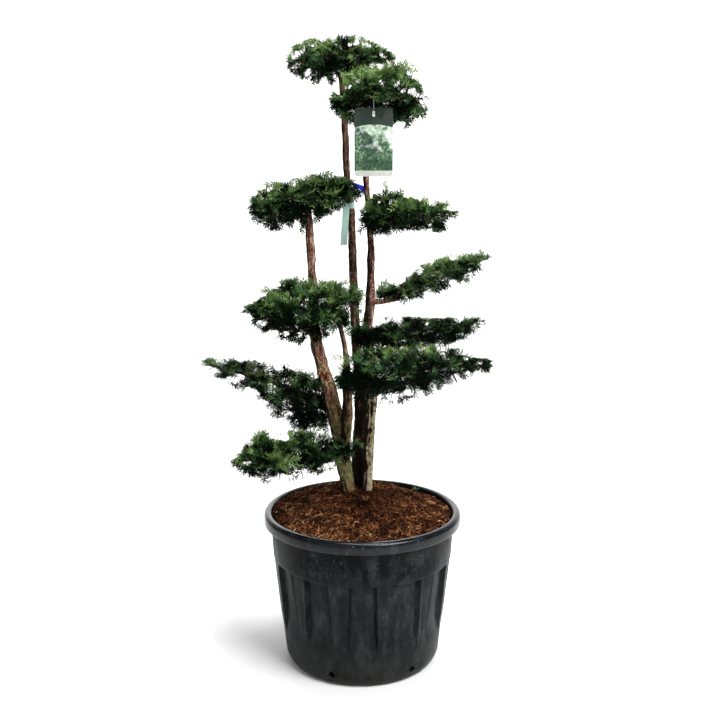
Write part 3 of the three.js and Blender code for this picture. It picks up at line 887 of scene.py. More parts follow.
@dataclass
class BarkMulch:
    """The heaped coir and bark mulch round the stems."""

    mouth_radius: float = 316
    wall_z: float = 521
    mound_z: float = 570
    mound_x: float = -15
    mound_y: float = 128
    mound_flat: float = 88
    heaped: float = 13
    heaped_turn: float = 150
    lumps: Rows = ((3.5, 38), (2.4, 13), (1.6, 6))
    settled: float = 1.5
    rings: int = 70
    columns: int = 180
    skirt: float = 30
    bed_gap: float = 1.2
    wall_gap: float = 4
    strands: int = 13000
    strand_margin: float = 9
    strand_length: tuple[float, float] = (10, 36)
    strand_width: tuple[float, float] = (1.1, 3.5)
    strand_bow: float = 0.12
    strand_arch: tuple[float, float] = (0.2, 3.2)
    strand_lift: float = 0.6
    strand_heap: float = 5
    strand_tilt: float = 0.6
    clump_size: float = 34
    clump_dark: float = 0.35
    damp_x: float = 10
    damp_y: float = 20
    damp_wide: float = 110
    damp_deep: float = 130
    damp_dark: float = 0.30
    chips: int = 1500
    chip_margin: float = 14
    chip_long: tuple[float, float] = (3, 9)
    chip_wide: tuple[float, float] = (2, 5)
    chip_thick: tuple[float, float] = (0.8, 2.2)
    chip_tip: float = 0.35
    chip_lift: float = 1.4
    sprouts: Rows = ((202, 230, 9, 22, 6.0), (166, 48, 6, 26, 2.4), (12, -4, 6, 24, 2.4))
    seed: int = 31

    def surface(self, x: Array, y: Array) -> Array:
        """Height of the heap above points of the pot's mouth.

        Args:
            x: Places across.
            y: Places in depth.

        Returns:
            Heights, in millimetres.
        """
        to_wall = np.maximum(self.mouth_radius - np.hypot(x, y), 0.0)
        from_flat = np.maximum(0.0, np.hypot(x - self.mound_x, y - self.mound_y) - self.mound_flat)
        rise = smooth_step(0.0, 1.0, to_wall / np.maximum(to_wall + from_flat, 1e-6))
        noise, spots = GrainNoise(self.seed), xyz(x, y, np.zeros_like(x))
        rough = sum(size * noise.at(spots / span) for size, span in self.lumps)
        turn = np.arctan2(y, x) - math.radians(self.heaped_turn)
        wall = self.wall_z + self.heaped * np.clip(0.35 + np.cos(turn), 0, 1)
        return wall + (self.mound_z - wall) * rise + rough * np.clip(to_wall / 12.0, 0.2, 1.0) - self.settled

    def bed(self) -> None:
        """Lays the lumpy bed that the strands lie on."""
        radius = (self.mouth_radius - self.bed_gap) * np.linspace(0, 1, self.rings)[:, None]
        turn = ring_turns(self.columns)[None, :]
        x, y = radius * np.cos(turn), radius * np.sin(turn)
        top = xyz(x, y, self.surface(x, y))
        skirt = top[-1:].copy()
        skirt[..., 2] = self.wall_z - self.skirt
        under = np.arange(self.columns)[None, ::-1] + self.rings * self.columns
        buffer = MeshBuffer()
        buffer.add(np.concatenate([top, skirt]), grid_faces(self.rings + 1, self.columns, True), under)
        place(buffer.make("mulch_bed", [BED_FIBRE.material()], True), "soil", "soil")

    def scatter(self, dealer: Dealer, count: int, margin: float) -> tuple[Array, Array]:
        """Even random places on the heap, across and in depth, with a margin to the pot's wall."""
        away, turn = (self.mouth_radius - margin) * np.sqrt(dealer.random(count)), dealer.random(count) * TURN
        return away * np.cos(turn), away * np.sin(turn)

    def strand_points(self, dealer: Dealer) -> tuple[Array, Array]:
        """Bent strips of fibre that lie on the heap.

        Args:
            dealer: Source of the seeded numbers.

        Returns:
            Points, strips x 6 x 3, and the strips' random tones.
        """
        count = self.strands
        x, y = self.scatter(dealer, count, self.strand_margin)
        length = dealer.uniform(*self.strand_length, count)
        width = dealer.uniform(*self.strand_width, count)
        turn = dealer.random(count) * TURN
        run = np.stack([np.cos(turn), np.sin(turn)], axis=-1)
        side = np.stack([-run[:, 1], run[:, 0]], axis=-1)
        bow = dealer.normal(0.0, self.strand_bow, count) * length
        rows = []
        for share, lift in ((-0.5, 0.0), (0.0, 1.0), (0.5, 0.0)):
            flat = np.stack([x, y], -1) + run * (share * length)[:, None] + side * (lift * bow)[:, None]
            far = np.hypot(*flat.T)
            flat *= np.minimum(1.0, (self.mouth_radius - self.wall_gap) / np.maximum(far, 1e-6))[:, None]
            rise = self.surface(*flat.T) + self.strand_lift + lift * dealer.uniform(*self.strand_arch, count)
            rise += dealer.uniform(0.0, self.strand_heap, count)
            tilt = dealer.normal(0.0, self.strand_tilt, count)
            for hand in (-0.5, 0.5):
                edge = flat + side * (hand * width * np.cos(tilt))[:, None]
                rows.append(xyz(*edge.T, rise + hand * width * np.sin(tilt)))
        damp = np.exp(-(((x - self.damp_x) / self.damp_wide) ** 2 + ((y - self.damp_y) / self.damp_deep) ** 2))
        clumps = smooth_step(0.0, 0.5, GrainNoise(self.seed).at(xyz(x, y, np.zeros_like(x)) / self.clump_size))
        tones = dealer.random(count) * (1.0 - self.damp_dark * damp) * (1.0 - self.clump_dark * clumps)
        return np.stack(rows, axis=1), tones

    def strand_pieces(self) -> None:
        """Lays the loose strands, one joined piece for each tone."""
        points, tones = self.strand_points(np.random.default_rng(self.seed))
        strip, low = np.array([[0, 2, 3, 1], [2, 4, 5, 3]]), -1.0
        for high, fibre in STRAND_FIBRES:
            chosen = points[(tones >= low) & (tones < high)]
            corner = np.arange(len(chosen))[:, None, None] * 6
            buffer = MeshBuffer()
            buffer.add(chosen, (corner + strip[None]).reshape(-1, 4))
            place(buffer.make("mulch_strands_" + fibre.name, [fibre.material()], False), "soil")
            low = high

    def chip_piece(self) -> None:
        """Lays broken bark chips among the strands."""
        dealer, count = np.random.default_rng(self.seed + 1), self.chips
        x, y = self.scatter(dealer, count, self.chip_margin)
        sides = (self.chip_long, self.chip_wide, self.chip_thick)
        size = np.stack([dealer.uniform(*side, count) for side in sides], axis=-1)
        turn = dealer.random(count)[:, None] * TURN
        tip = dealer.normal(0.0, self.chip_tip, (count, 2))
        flat = ((-1, -1), (1, -1), (1, 1), (-1, 1))
        corners = np.array([(a, b, c) for c in (-1, 1) for a, b in flat], float)
        shape = corners[None] * size[:, None, :] * dealer.uniform(0.55, 1.0, (count, 8, 3))
        run = shape[..., 0] * np.cos(turn) - shape[..., 1] * np.sin(turn)
        wide = shape[..., 0] * np.sin(turn) + shape[..., 1] * np.cos(turn)
        tall = shape[..., 2] + run * tip[:, :1] + wide * tip[:, 1:]
        base = self.surface(x, y) + self.chip_lift
        block = np.array([[3, 2, 1, 0], [4, 5, 6, 7], [0, 1, 5, 4], [1, 2, 6, 5], [2, 3, 7, 6], [3, 0, 4, 7]])
        buffer = MeshBuffer()
        buffer.add(xyz(run + x[:, None], wide + y[:, None], tall + base[:, None]),
                   (np.arange(count)[:, None, None] * 8 + block[None]).reshape(-1, 4))
        place(buffer.make("mulch_chips", [CHIP_FIBRE.material()], False), "soil")

    def sprout_piece(self) -> None:
        """Plants a green seedling near the pot's wall and two dry sprigs among the fibre."""
        dealer = np.random.default_rng(self.seed + 2)
        buffer = MeshBuffer()
        for number, (x, y, blades, length, width) in enumerate(self.sprouts):
            turn = np.arange(blades) * GOLDEN_TURN
            out = xyz(np.cos(turn), np.sin(turn), np.zeros(blades))
            foot = np.array([x, y, self.surface(np.array(x), np.array(y))]) + out
            rise = dealer.uniform(0.5, 1.0, (blades, 1)) * length
            middle, tip = foot + rise * (out * 0.35 + UP * 0.7), foot + rise * (out * 0.8 + UP)
            edge = np.cross(UP, out) * width / 2
            rows = np.stack([foot - edge * 0.3, foot + edge * 0.3, middle - edge, middle + edge, tip], axis=1)
            buffer.add(rows, *blade_faces(blades), coat=min(number, 1))
        coats = [NEEDLES[Shade.FRESH.value], SPRIG_FIBRE.material()]
        place(buffer.make("mulch_sprouts", coats, False), "foliage")

    def build(self) -> None:
        """Lays the bed, its strands, its chips and its sprouts."""
        self.bed()
        self.strand_pieces()
        self.chip_piece()
        self.sprout_piece()


class LimbLine:
    """A smooth line through a limb's rows of x, y, z and radius."""

    fine = 600

    def __init__(self, rows: Rows) -> None:
        """Keeps the rows and a spare point beyond each end.

        Args:
            rows: x, y, z and radius of each knot, in millimetres.
        """
        table = np.array(rows, float)
        spots = table[:, :3]
        self.radii = table[:, 3]
        self.spots = np.vstack([2 * spots[0] - spots[1], spots, 2 * spots[-1] - spots[-2]])

    def at(self, shares: Array) -> Array:
        """Points of the line.

        Args:
            shares: Places along it, from 0 to 1.

        Returns:
            The points, in millimetres.
        """
        last = len(self.radii) - 1
        along = np.clip(shares, 0, 1) * last
        i = np.minimum(np.floor(along).astype(int), last - 1)
        w = (along - i)[:, None]
        p0, p1, p2, p3 = (self.spots[i + k] for k in range(4))
        gaps = ((p0, p1), (p1, p2), (p2, p3))
        d0, d1, d2 = (np.sqrt(np.linalg.norm(b - a, axis=1))[:, None] for a, b in gaps)
        leave = ((p1 - p0) / d0 - (p2 - p0) / (d0 + d1) + (p2 - p1) / d1) * d1
        arrive = ((p2 - p1) / d1 - (p3 - p1) / (d1 + d2) + (p3 - p2) / d2) * d1
        square = 3.0 * (p2 - p1) - 2.0 * leave - arrive
        cube = 2.0 * (p1 - p2) + leave + arrive
        return p1 + w * (leave + w * (square + w * cube))

    def radius(self, shares: Array) -> Array:
        """The limb's radius at places along it."""
        return np.interp(shares * (len(self.radii) - 1), np.arange(len(self.radii)), self.radii)

    def passing(self, height: float) -> tuple[Array, float]:
        """Where the limb passes a height.

        Args:
            height: The height, in millimetres.

        Returns:
            The middle of the limb there and its radius.
        """
        shares = np.linspace(0, 1, self.fine)
        spots = self.at(shares)
        nearest = int(np.argmin(np.abs(spots[:, 2] - height)))
        return spots[nearest], float(self.radius(shares)[nearest])


GROUND = 570.3
LIMB_SEED = 11
STEM_ROWS: dict[str, Rows] = {
    "stem_left": (
        (-52, 105, GROUND, 24), (-64, 101, 655, 26.5), (-79, 97, 758, 25), (-114, 89, 933, 25),
        (-135, 86, 1005, 24), (-164, 80, 1138, 18), (-173, 72, 1338, 14.5), (-179, 64, 1505, 13.5),
        (-184, 60, 1568, 13),
    ),
    "stem_centre": (
        (-18, 165, GROUND, 24), (-14, 162, 700, 23), (-8, 159, 891, 18.5), (-26, 154, 1184, 15.5),
        (-34, 150, 1449, 13.2), (-37, 148, 1553, 12.5), (-53, 145, 1701, 11.2), (-61, 142, 1874, 10.8),
        (-72, 140, 2018, 9.5),
    ),
    "stem_right": (
        (17, 110, GROUND, 17), (26, 110, 774, 20.5), (30, 110, 860, 20.5), (32, 109, 932, 21),
        (25, 106, 1060, 19), (20, 98, 1163, 17), (28, 90, 1280, 17), (28, 84, 1368, 12.3),
        (29, 78, 1453, 12), (20, 64, 1585, 10.5), (12, 55, 1679, 9.8), (10, 40, 1815, 9),
        (13, 32, 1868, 8.5),
    ),
}
BOUGH_ROWS: dict[str, Rows] = {
    "stem_slim": (
        (-67, 98, 690, 16.5), (-61, 77, 745, 18), (-54, 62, 850, 18.5), (-52, 44, 978, 14.5),
        (-54, 33, 1054, 10), (-62, 23, 1119, 8.5), (-80, 12, 1192, 7.5),
    ),
    "bough_right_upper": ((27, 75, 1492, 8.5), (45, 60, 1516, 8), (75, 36, 1530, 7)),
    "bough_right_slant": ((27, 91, 1255, 9.5), (75, 96, 1258, 8.5), (128, 104, 1267, 7.5)),
    "bough_right_back": ((22, 107, 1040, 10), (58, 113, 1070, 9), (98, 117, 1094, 8)),
    "bough_right_front": ((25, 110, 955, 10.5), (45, 60, 972, 9.5), (75, 0, 990, 8.5)),
    "bough_left_low": ((-102, 91, 880, 11.5), (-140, 108, 893, 10), (-180, 125, 905, 9)),
    "bough_left_bottom": ((-74, 98, 716, 11), (-105, 55, 728, 10), (-140, 5, 742, 9)),
}
LIMB_LINES = {name: LimbLine(rows) for name, rows in {**STEM_ROWS, **BOUGH_ROWS}.items()}


@dataclass
class BarkLimb:
    """A stem or bough with fluted wood, flaking strips of bark and a few knots."""

    name: str
    upright: bool
    seed: int
    columns: int = 44
    knots: int = 5
    ring_step: float = 5.5
    length_steps: int = 200
    flute: float = 0.09
    flute_round: float = 1.3
    flute_length: float = 150
    flare_share: float = 0.1
    flare_height: float = 30
    flare_lobes: int = 5
    lobe_share: float = 0.38
    collar_share: float = 0.45
    collar_length: float = 16
    plate: float = 2.5
    fibre: float = 1.0
    layers: Rows = ((8.5, 46, 0), (5.0, 17, 19), (2.6, 24, 51))
    full_radius: float = 17
    knot_size: tuple[float, float] = (6.0, 9.5)
    knot_rise: tuple[float, float] = (2.0, 3.8)
    knot_spots: tuple[float, float] = (0.12, 0.9)
    buried: float = 10

    def body(self, radius: Array, turns: Array, run: Array, height: Array) -> Array:
        """The limb's own radius, with root flare or branch collar and fluting.

        Args:
            radius: Plain radius at places along the limb.
            turns: Angles round it.
            run: Distance along it.
            height: Height of those places.

        Returns:
            Radii, places x angles.
        """
        if self.upright:
            flare = self.flare_share * np.exp(np.minimum(GROUND - height, 0.0) / self.flare_height)
            swell = 1.0 + flare * (1.0 + self.lobe_share * np.cos(self.flare_lobes * turns + self.seed))
        else:
            swell = 1.0 + self.collar_share * np.exp(-run / self.collar_length)
        ring = xyz(np.cos(turns) * self.flute_round, np.sin(turns) * self.flute_round, run / self.flute_length)
        return radius * swell * (1.0 + self.flute * GrainNoise(self.seed).at(ring))

    def relief(self, radius: Array, turns: Array, run: Array) -> Array:
        """Height of the flaking bark over the wood.

        Args:
            radius: Radii, places x angles.
            turns: Angles round the limb.
            run: Distance along the limb.

        Returns:
            Heights, in millimetres.
        """
        waves = GrainNoise(self.seed + 40)
        x, y = radius * np.cos(turns), radius * np.sin(turns)
        strips, flakes, threads = (
            waves.at(xyz(x / wide, y / wide, run / long) + shift) for wide, long, shift in self.layers
        )
        plates = smooth_step(-0.10, 0.10, strips) + 0.55 * smooth_step(0.05, 0.30, flakes)
        scale = np.clip(radius / self.full_radius, 0.45, 1.15)
        return scale * (self.plate * (plates - 0.7) + self.fibre * threads)

    def knot_bumps(self, radius: Array, turns: Array, run: Array) -> Array:
        """Raised scars where side shoots were cut away.

        Args:
            radius: Radii, places x angles.
            turns: Angles round the limb.
            run: Distance along the limb.

        Returns:
            Heights, in millimetres.
        """
        dealer = np.random.default_rng(self.seed)
        bumps = np.zeros_like(radius)
        for _ in range(self.knots):
            turn, spot = dealer.random() * TURN, dealer.uniform(*self.knot_spots) * run.max()
            around = radius * np.abs((turns - turn + math.pi) % TURN - math.pi)
            away = np.hypot(around, run - spot) / dealer.uniform(*self.knot_size)
            bumps += dealer.uniform(*self.knot_rise) * (np.exp(-away * away) - 0.75 * np.exp(-9.0 * away * away))
        return bumps

    def build(self) -> None:
        """Sets the limb in place of its solid."""
        line = LIMB_LINES[self.name]
        length = run_along(line.at(np.linspace(0, 1, self.length_steps)))[-1, 0]
        shares = np.linspace(0, 1, int(length / self.ring_step) + 2)
        centre = line.at(shares)
        if self.upright:
            centre = np.vstack([centre[:1] - UP * self.buried, centre])
            shares = np.concatenate([[0.0], shares])
        turns, run = ring_turns(self.columns)[None, :], run_along(centre)
        wood = self.body(line.radius(shares)[:, None], turns, run, centre[:, 2:])
        skin = wood + self.relief(wood, turns, run) + self.knot_bumps(wood, turns, run)
        across, other = (rings[0][:, None, :] for rings in tube_rings(centre[None]))
        circle = np.cos(turns)[0][:, None] * across + np.sin(turns)[0][:, None] * other
        ring = np.arange(self.columns)
        buffer = MeshBuffer()
        buffer.add(centre[:, None, :] + skin[..., None] * circle,
                   grid_faces(len(centre), self.columns, True)[:, ::-1],
                   np.stack([ring, ring[::-1] + (len(centre) - 1) * self.columns]))
        bark = BARKS.get(self.name, BARKS["stem_left"])
        place(buffer.make("bark_" + self.name, [bark], True), "bark", self.name)


@dataclass(frozen=True)
class PadPlan:
    """One clipped pad: its limb, its line, its depth, its heights along the line, its painted shade and its leader.
    """

    name: str
    limb: str
    start: tuple[float, float, float]
    end: tuple[float, float, float]
    depth: float
    fullest: float
    rise: tuple[float, ...]
    fall: tuple[float, ...]
    # Share by which the pad's greens are dealt darker: painted shade where the pad stands in the shade of others.
    painted_shade: float
    leader: tuple[float, float] | None = None


PAD_PLANS = (
    PadPlan("pad_top_left", "stem_centre", (-255, 150, 2065), (107, 140, 2077), 320, 0.45,
            (32, 69, 69, 79, 57, 8), (23, 61, 77, 53, 43, 13), 0.04),
    PadPlan("pad_top_right", "stem_right", (-108, -20, 1925), (210, -50, 1928), 290, 0.55,
            (22, 92, 103, 112, 116, 20), (16, 73, 84, 79, 89, 43), 0.0),
    PadPlan("pad_left_upper", "stem_left", (-379, 50, 1582), (-11, 30, 1645), 330, 0.42,
            (30, 67, 67, 74, 52, 13), (30, 93, 95, 88, 60, 26), 0.1),
    PadPlan("pad_right_upper", "bough_right_upper", (-8, 20, 1560), (318, 0, 1554), 290, 0.48,
            (30, 74, 81, 56, 51, 12), (46, 68, 54, 49, 54, 12), 0.1, (0.26, 106)),
    PadPlan("pad_right_slant", "bough_right_slant", (51, 100, 1276), (447, 140, 1408), 250, 0.55,
            (24, 22, 47, 54, 38, 10), (18, 46, 58, 54, 46, 10), 0.06),
    PadPlan("pad_left_middle", "stem_slim", (-394, -50, 1246), (-5, -30, 1267), 345, 0.48,
            (23, 72, 97, 86, 75, 44), (20, 82, 118, 119, 97, 30), 0.12),
    PadPlan("pad_right_back", "bough_right_back", (-32, 45, 1129), (442, 250, 1167), 294, 0.48,
            (42, 56, 57, 50, 33, 11), (26, 34, 60, 62, 59, 15), 0.44),
    PadPlan("pad_right_front", "bough_right_front", (-95, -70, 1025), (426, -100, 1072), 345, 0.45,
            (20, 87, 82, 77, 52, 27), (24, 97, 98, 79, 39, 24), 0.42),
    PadPlan("pad_left_low", "bough_left_low", (-112, 130, 891), (-583, 160, 1031), 330, 0.36,
            (80, 95, 69, 58, 37, 9), (90, 137, 120, 51, 26, 9), 0.42),
    PadPlan("pad_left_bottom", "bough_left_bottom", (-36, -20, 758), (-433, -100, 739), 325, 0.55,
            (30, 55, 77, 67, 89, 21), (30, 49, 68, 70, 72, 18), 0.24),
)
# Openings of each pad: x and z from the start of its line, the two half-widths and the tilt.
SKY: dict[str, Rows] = {
    "pad_top_left": (
        (40, 28, 28, 10, 35), (33, -8, 21, 9, 35), (86, 55, 14, 5, -20), (224, 61, 21, 7, 8), (271, 55, 19, 7, -20),
        (330, 15, 24, 9, -45), (302, -13, 26, 7, -5), (71, -35, 14, 12, 60), (126, -63, 14, 14, 0),
        (168, -55, 24, 12, 90),
    ),
    "pad_top_right": (
        (266, 76, 26, 8, -22), (315, 51, 18, 31, 0), (254, 30, 32, 10, -5), (299, -3, 35, 13, -42),
        (218, 49, 15, 6, 40), (166, 56, 7, 7, 0), (164, 104, 11, 4, -10), (195, 109, 8, 4, 60), (239, -3, 7, 5, 0),
        (267, -59, 7, 10, 60), (305, -57, 10, 10, 0), (232, -79, 15, 8, 0), (91, 57, 9, 8, 0), (55, 39, 16, 7, 15),
        (28, 59, 20, 12, 90), (28, 29, 14, 11, 90),
    ),
    "pad_left_upper": (
        (67, 62, 14, 5, 25), (43, 30, 10, 5, 35), (369, 65, 20, 8, -35), (118, -64, 11, 11, 0),
        (160, -67, 12, 11, 0),
    ),
    "pad_right_upper": (
        (63, 41, 6, 7, 60), (100, 41, 13, 5, 50), (127, 14, 9, 4, -30), (282, 19, 8, 5, -10), (266, -7, 15, 8, -45),
        (306, -10, 27, 10, -20), (299, 20, 20, 5, -15), (307, -25, 28, 18, 0), (234, -36, 5, 10, 80),
        (234, -53, 8, 6, 0), (241, 38, 15, 7, -20), (169, 66, 40, 7, -16),
    ),
    "pad_right_slant": (
        (151, 85, 14, 11, 20), (80, 48, 20, 8, 25), (269, 131, 17, 6, 3), (382, 110, 26, 17, 20),
        (260, 43, 11, 7, 0), (325, 68, 17, 9, 40),
    ),
    "pad_left_middle": (
        (158, 41, 7, 4, 50), (63, 52, 16, 6, 10), (29, 39, 36, 13, 31), (94, 81, 29, 11, 15),
        (10, -26, 20, 11, -36), (59, -47, 22, 9, -5), (96, -80, 22, 9, -10), (139, -80, 11, 9, 20),
        (183, -88, 11, 7, 30), (345, 7, 18, 8, 75), (211, -100, 13, 12, 0), (369, -12, 37, 20, 90),
    ),
    "pad_right_back": (
        (179, -14, 11, 5, -20), (186, -44, 13, 4, -15), (263, 42, 7, 6, 30), (383, 52, 17, 13, 30),
        (458, 17, 20, 20, 0), (385, -40, 24, 9, 20), (93, 59, 35, 9, 14), (293, 74, 132, 9, -2),
    ),
    "pad_right_front": (
        (438, 63, 9, 4, -20), (482, 50, 11, 8, 20), (428, 35, 9, 10, 30), (441, 13, 11, 8, 10),
        (485, 16, 20, 12, 30), (464, 81, 55, 9, -8), (400, -3, 20, 8, 15), (249, -55, 18, 11, 0),
        (289, -60, 18, 9, 10), (125, 64, 10, 6, -60), (59, 34, 17, 8, 90), (11, 18, 20, 10, 45),
        (180, -74, 51, 12, 7),
    ),
    "pad_left_low": (
        (-441, 120, 52, 13, -24), (-408, 113, 15, 8, -10), (-341, 84, 34, 17, 5), (-253, -10, 31, 16, -34),
        (-287, 28, 28, 14, -20), (-185, 123, 17, 10, -12), (-106, 122, 51, 9, -9), (-88, 3, 6, 4, 60),
        (-35, -35, 12, 6, -30), (-160, -46, 21, 6, -10),
    ),
    "pad_left_bottom": (
        (-385, 16, 34, 10, 57), (-248, 60, 34, 9, -6), (-354, -29, 12, 8, 10), (-84, -56, 30, 8, 20),
        (-169, -71, 16, 7, 10), (-240, -77, 21, 5, 0), (-242, -90, 44, 9, 8), (-151, -87, 31, 10, 3),
    ),
}
# Free shoots of each pad: x and z from the start of its line, then two steps.
TIPS: dict[str, Rows] = {
    "pad_top_left": (
        (98, 69, -59, -11, -31, -31), (72, 29, -38, -18, -28, -25), (72, -10, -32, -14, -17, -32),
        (83, -24, 5, -23, 2, -27), (64, -24, -12, -18, -4, -16), (202, 73, 38, 5, 45, -16),
        (290, 51, 35, -5, 28, -37), (278, 12, 31, -7, 26, -16), (51, -13, -14, -16, -11, -20),
        (105, -39, -11, -16, -7, -14), (139, -43, 13, -16, 14, -16),
    ),
    "pad_top_right": (
        (245, 83, 26, 5, 22, 2), (239, 58, 29, -6, 24, -26), (245, 64, 26, -6, 21, -11), (218, 30, 16, 10, 11, 4),
        (239, 13, 16, -4, 18, 0), (262, -5, 33, -16, 22, -13), (279, -43, 19, 0, 13, -24),
        (253, -44, 14, -8, 15, -8), (240, -65, 8, -12, 5, -12), (215, 100, 25, 12, 19, 3), (228, 97, 34, 8, 29, -6),
        (29, 0, -13, -13, -10, -6), (45, -22, -13, -13, -10, -12), (74, -38, 0, -22, 3, -22),
        (270, -40, 26, -6, 19, -22), (245, -43, 13, -12, 6, -13), (280, -34, 22, -6, 19, -3),
    ),
    "pad_left_upper": (
        (94, 75, -32, 3, -18, -16), (64, 44, -26, 8, -15, -5), (37, 16, -21, 3, -17, -1),
        (176, -59, 1, -16, 0, -18), (253, 106, 13, 6, 16, -1), (41, 7, -21, -20, -14, -17),
        (54, -23, -17, -20, -14, -17), (179, -23, -4, -26, 0, -37), (230, -16, -7, -23, -7, -24),
        (307, 24, -6, -20, -11, -17), (327, 34, -10, -20, -10, -17), (338, 50, 23, -10, 20, -6),
        (344, 63, 20, -16, 24, -10), (327, 34, 21, -7, 20, -3), (318, 86, 20, 4, 20, -10),
        (170, 86, -20, 0, -13, -3), (231, 100, 23, 9, 24, -3),
    ),
    "pad_right_upper": (
        (97, 67, 21, 4, 28, -11), (15, -40, -11, -9, -10, -15), (251, 24, 23, 3, 30, -3),
        (258, 12, 34, -10, 35, -17), (258, -6, 14, -9, 9, -21), (242, -39, 14, -11, 28, -8),
        (202, 46, 14, 1, 12, -6), (54, -40, 0, -16, -7, -20), (107, -40, -7, -16, -6, -20), (126, 53, 7, 13, 6, 13),
        (140, 43, 23, 6, 23, -3), (256, 26, 23, 10, 26, -3), (257, -26, -3, -17, 0, -19),
        (276, -20, 4, -19, -3, -20),
    ),
    "pad_right_slant": (
        (287, 133, 57, -3, 57, -3), (364, 131, 0, 10, 1, 10), (330, 91, 20, 8, 16, 14), (311, 68, 9, -11, -3, -17),
        (162, 81, 3, 14, -3, 8), (12, 34, 12, 11, 14, 3), (63, 24, -28, 14, -24, 7), (53, 17, -25, 7, -28, 4),
        (39, 10, -25, -3, -17, -7), (74, -1, 21, -14, 21, -4), (123, 5, -21, -24, -28, -7),
        (140, 16, 11, -14, 18, -8), (298, 74, -7, -18, -6, -21), (319, 94, -3, -17, -3, -21),
    ),
    "pad_left_middle": (
        (121, 56, -34, 5, -33, 2), (94, 39, -23, -2, -22, -12), (53, -4, -29, 5, -30, 2),
        (46, -17, -11, -14, -5, -22), (85, -67, -15, -2, -23, -7), (119, -72, 4, -14, 4, -18),
        (199, -95, -14, -12, -13, -18), (359, 81, 20, -17, 24, -27), (107, 62, -23, 4, -27, 3),
        (206, 89, -23, 13, -26, 0), (313, 78, 20, 13, 20, -3), (366, 68, 17, -7, 16, -17),
        (359, 48, 20, -7, 20, -17), (312, -43, -13, -20, -24, -24), (336, -36, 6, -28, 4, -34),
        (349, -36, 3, -28, 0, -30), (105, -52, -20, -6, -30, -14), (359, 11, 17, -14, 13, -13),
        (195, -76, -10, -17, -11, -27),
    ),
    "pad_right_back": (
        (391, 35, 38, 14, 43, -13), (412, 20, 36, 1, 21, -1), (328, 55, 27, -5, 21, -4), (381, -16, 14, -7, 11, 2),
        (401, 50, 23, 10, 27, 2), (417, 23, 23, -5, 24, -9), (275, -15, 26, -16, 19, -16),
        (312, -14, 15, -15, 15, -16), (349, -9, 23, -13, 27, -5), (52, 49, -14, 12, -11, 11),
        (66, -15, 17, -12, 18, -12), (137, -27, 18, -12, 11, -19),
    ),
    "pad_right_front": (
        (66, 57, -40, 6, -39, 0), (50, 15, -19, 12, -15, -9), (47, -8, -26, -2, -17, 0),
        (228, -61, -2, -14, -3, -15), (403, 80, 30, -4, 36, -9), (458, 52, 24, 4, 31, 10),
        (469, 43, 23, -9, 22, -7), (417, 19, 9, 12, 7, -27), (340, -9, 7, -17, 7, -21),
        (257, -34, 11, -17, 10, -24), (301, -23, 0, -14, 7, -17), (472, 36, 16, -6, 20, -10),
        (370, 15, 10, -17, 13, -13), (419, 19, 10, -10, 14, -10), (167, -49, 0, -14, 1, -13),
        (266, 105, 13, -3, 13, 6),
    ),
    "pad_left_low": (
        (-374, 143, -49, -1, -49, -4), (-337, 108, -56, -15, -38, 4), (-317, 74, -18, -11, -11, -12),
        (-242, 18, -11, -3, -15, -4), (-194, -41, -11, -7, -11, -9), (-91, -78, -3, -15, -8, -10),
        (-46, -81, 17, -7, 14, -10), (-358, 102, -40, -8, -31, -5), (-199, -3, -22, -15, -18, -8),
        (-156, -32, -25, -12, -29, -11), (-139, 104, 25, 8, 25, 0), (-96, 97, 25, 8, 25, -11),
        (-33, -71, 14, -26, 7, -22), (-69, -83, 21, -7, 22, 4), (-127, -61, -11, -15, -11, -15),
    ),
    "pad_left_bottom": (
        (-295, 52, 3, 16, 3, 16), (-370, 7, -13, -15, -10, -13), (-379, -30, -13, -1, -13, -1),
        (-305, -73, 8, -12, 2, -8), (-152, -42, 16, -22, 14, -19), (-6, 22, 24, 7, 24, -25),
        (-143, 61, 24, 13, 21, 6), (-116, 49, 21, 10, 20, 2), (-325, -48, 0, -17, 3, -18),
        (-355, -39, 7, -14, 6, -19),
    ),
}


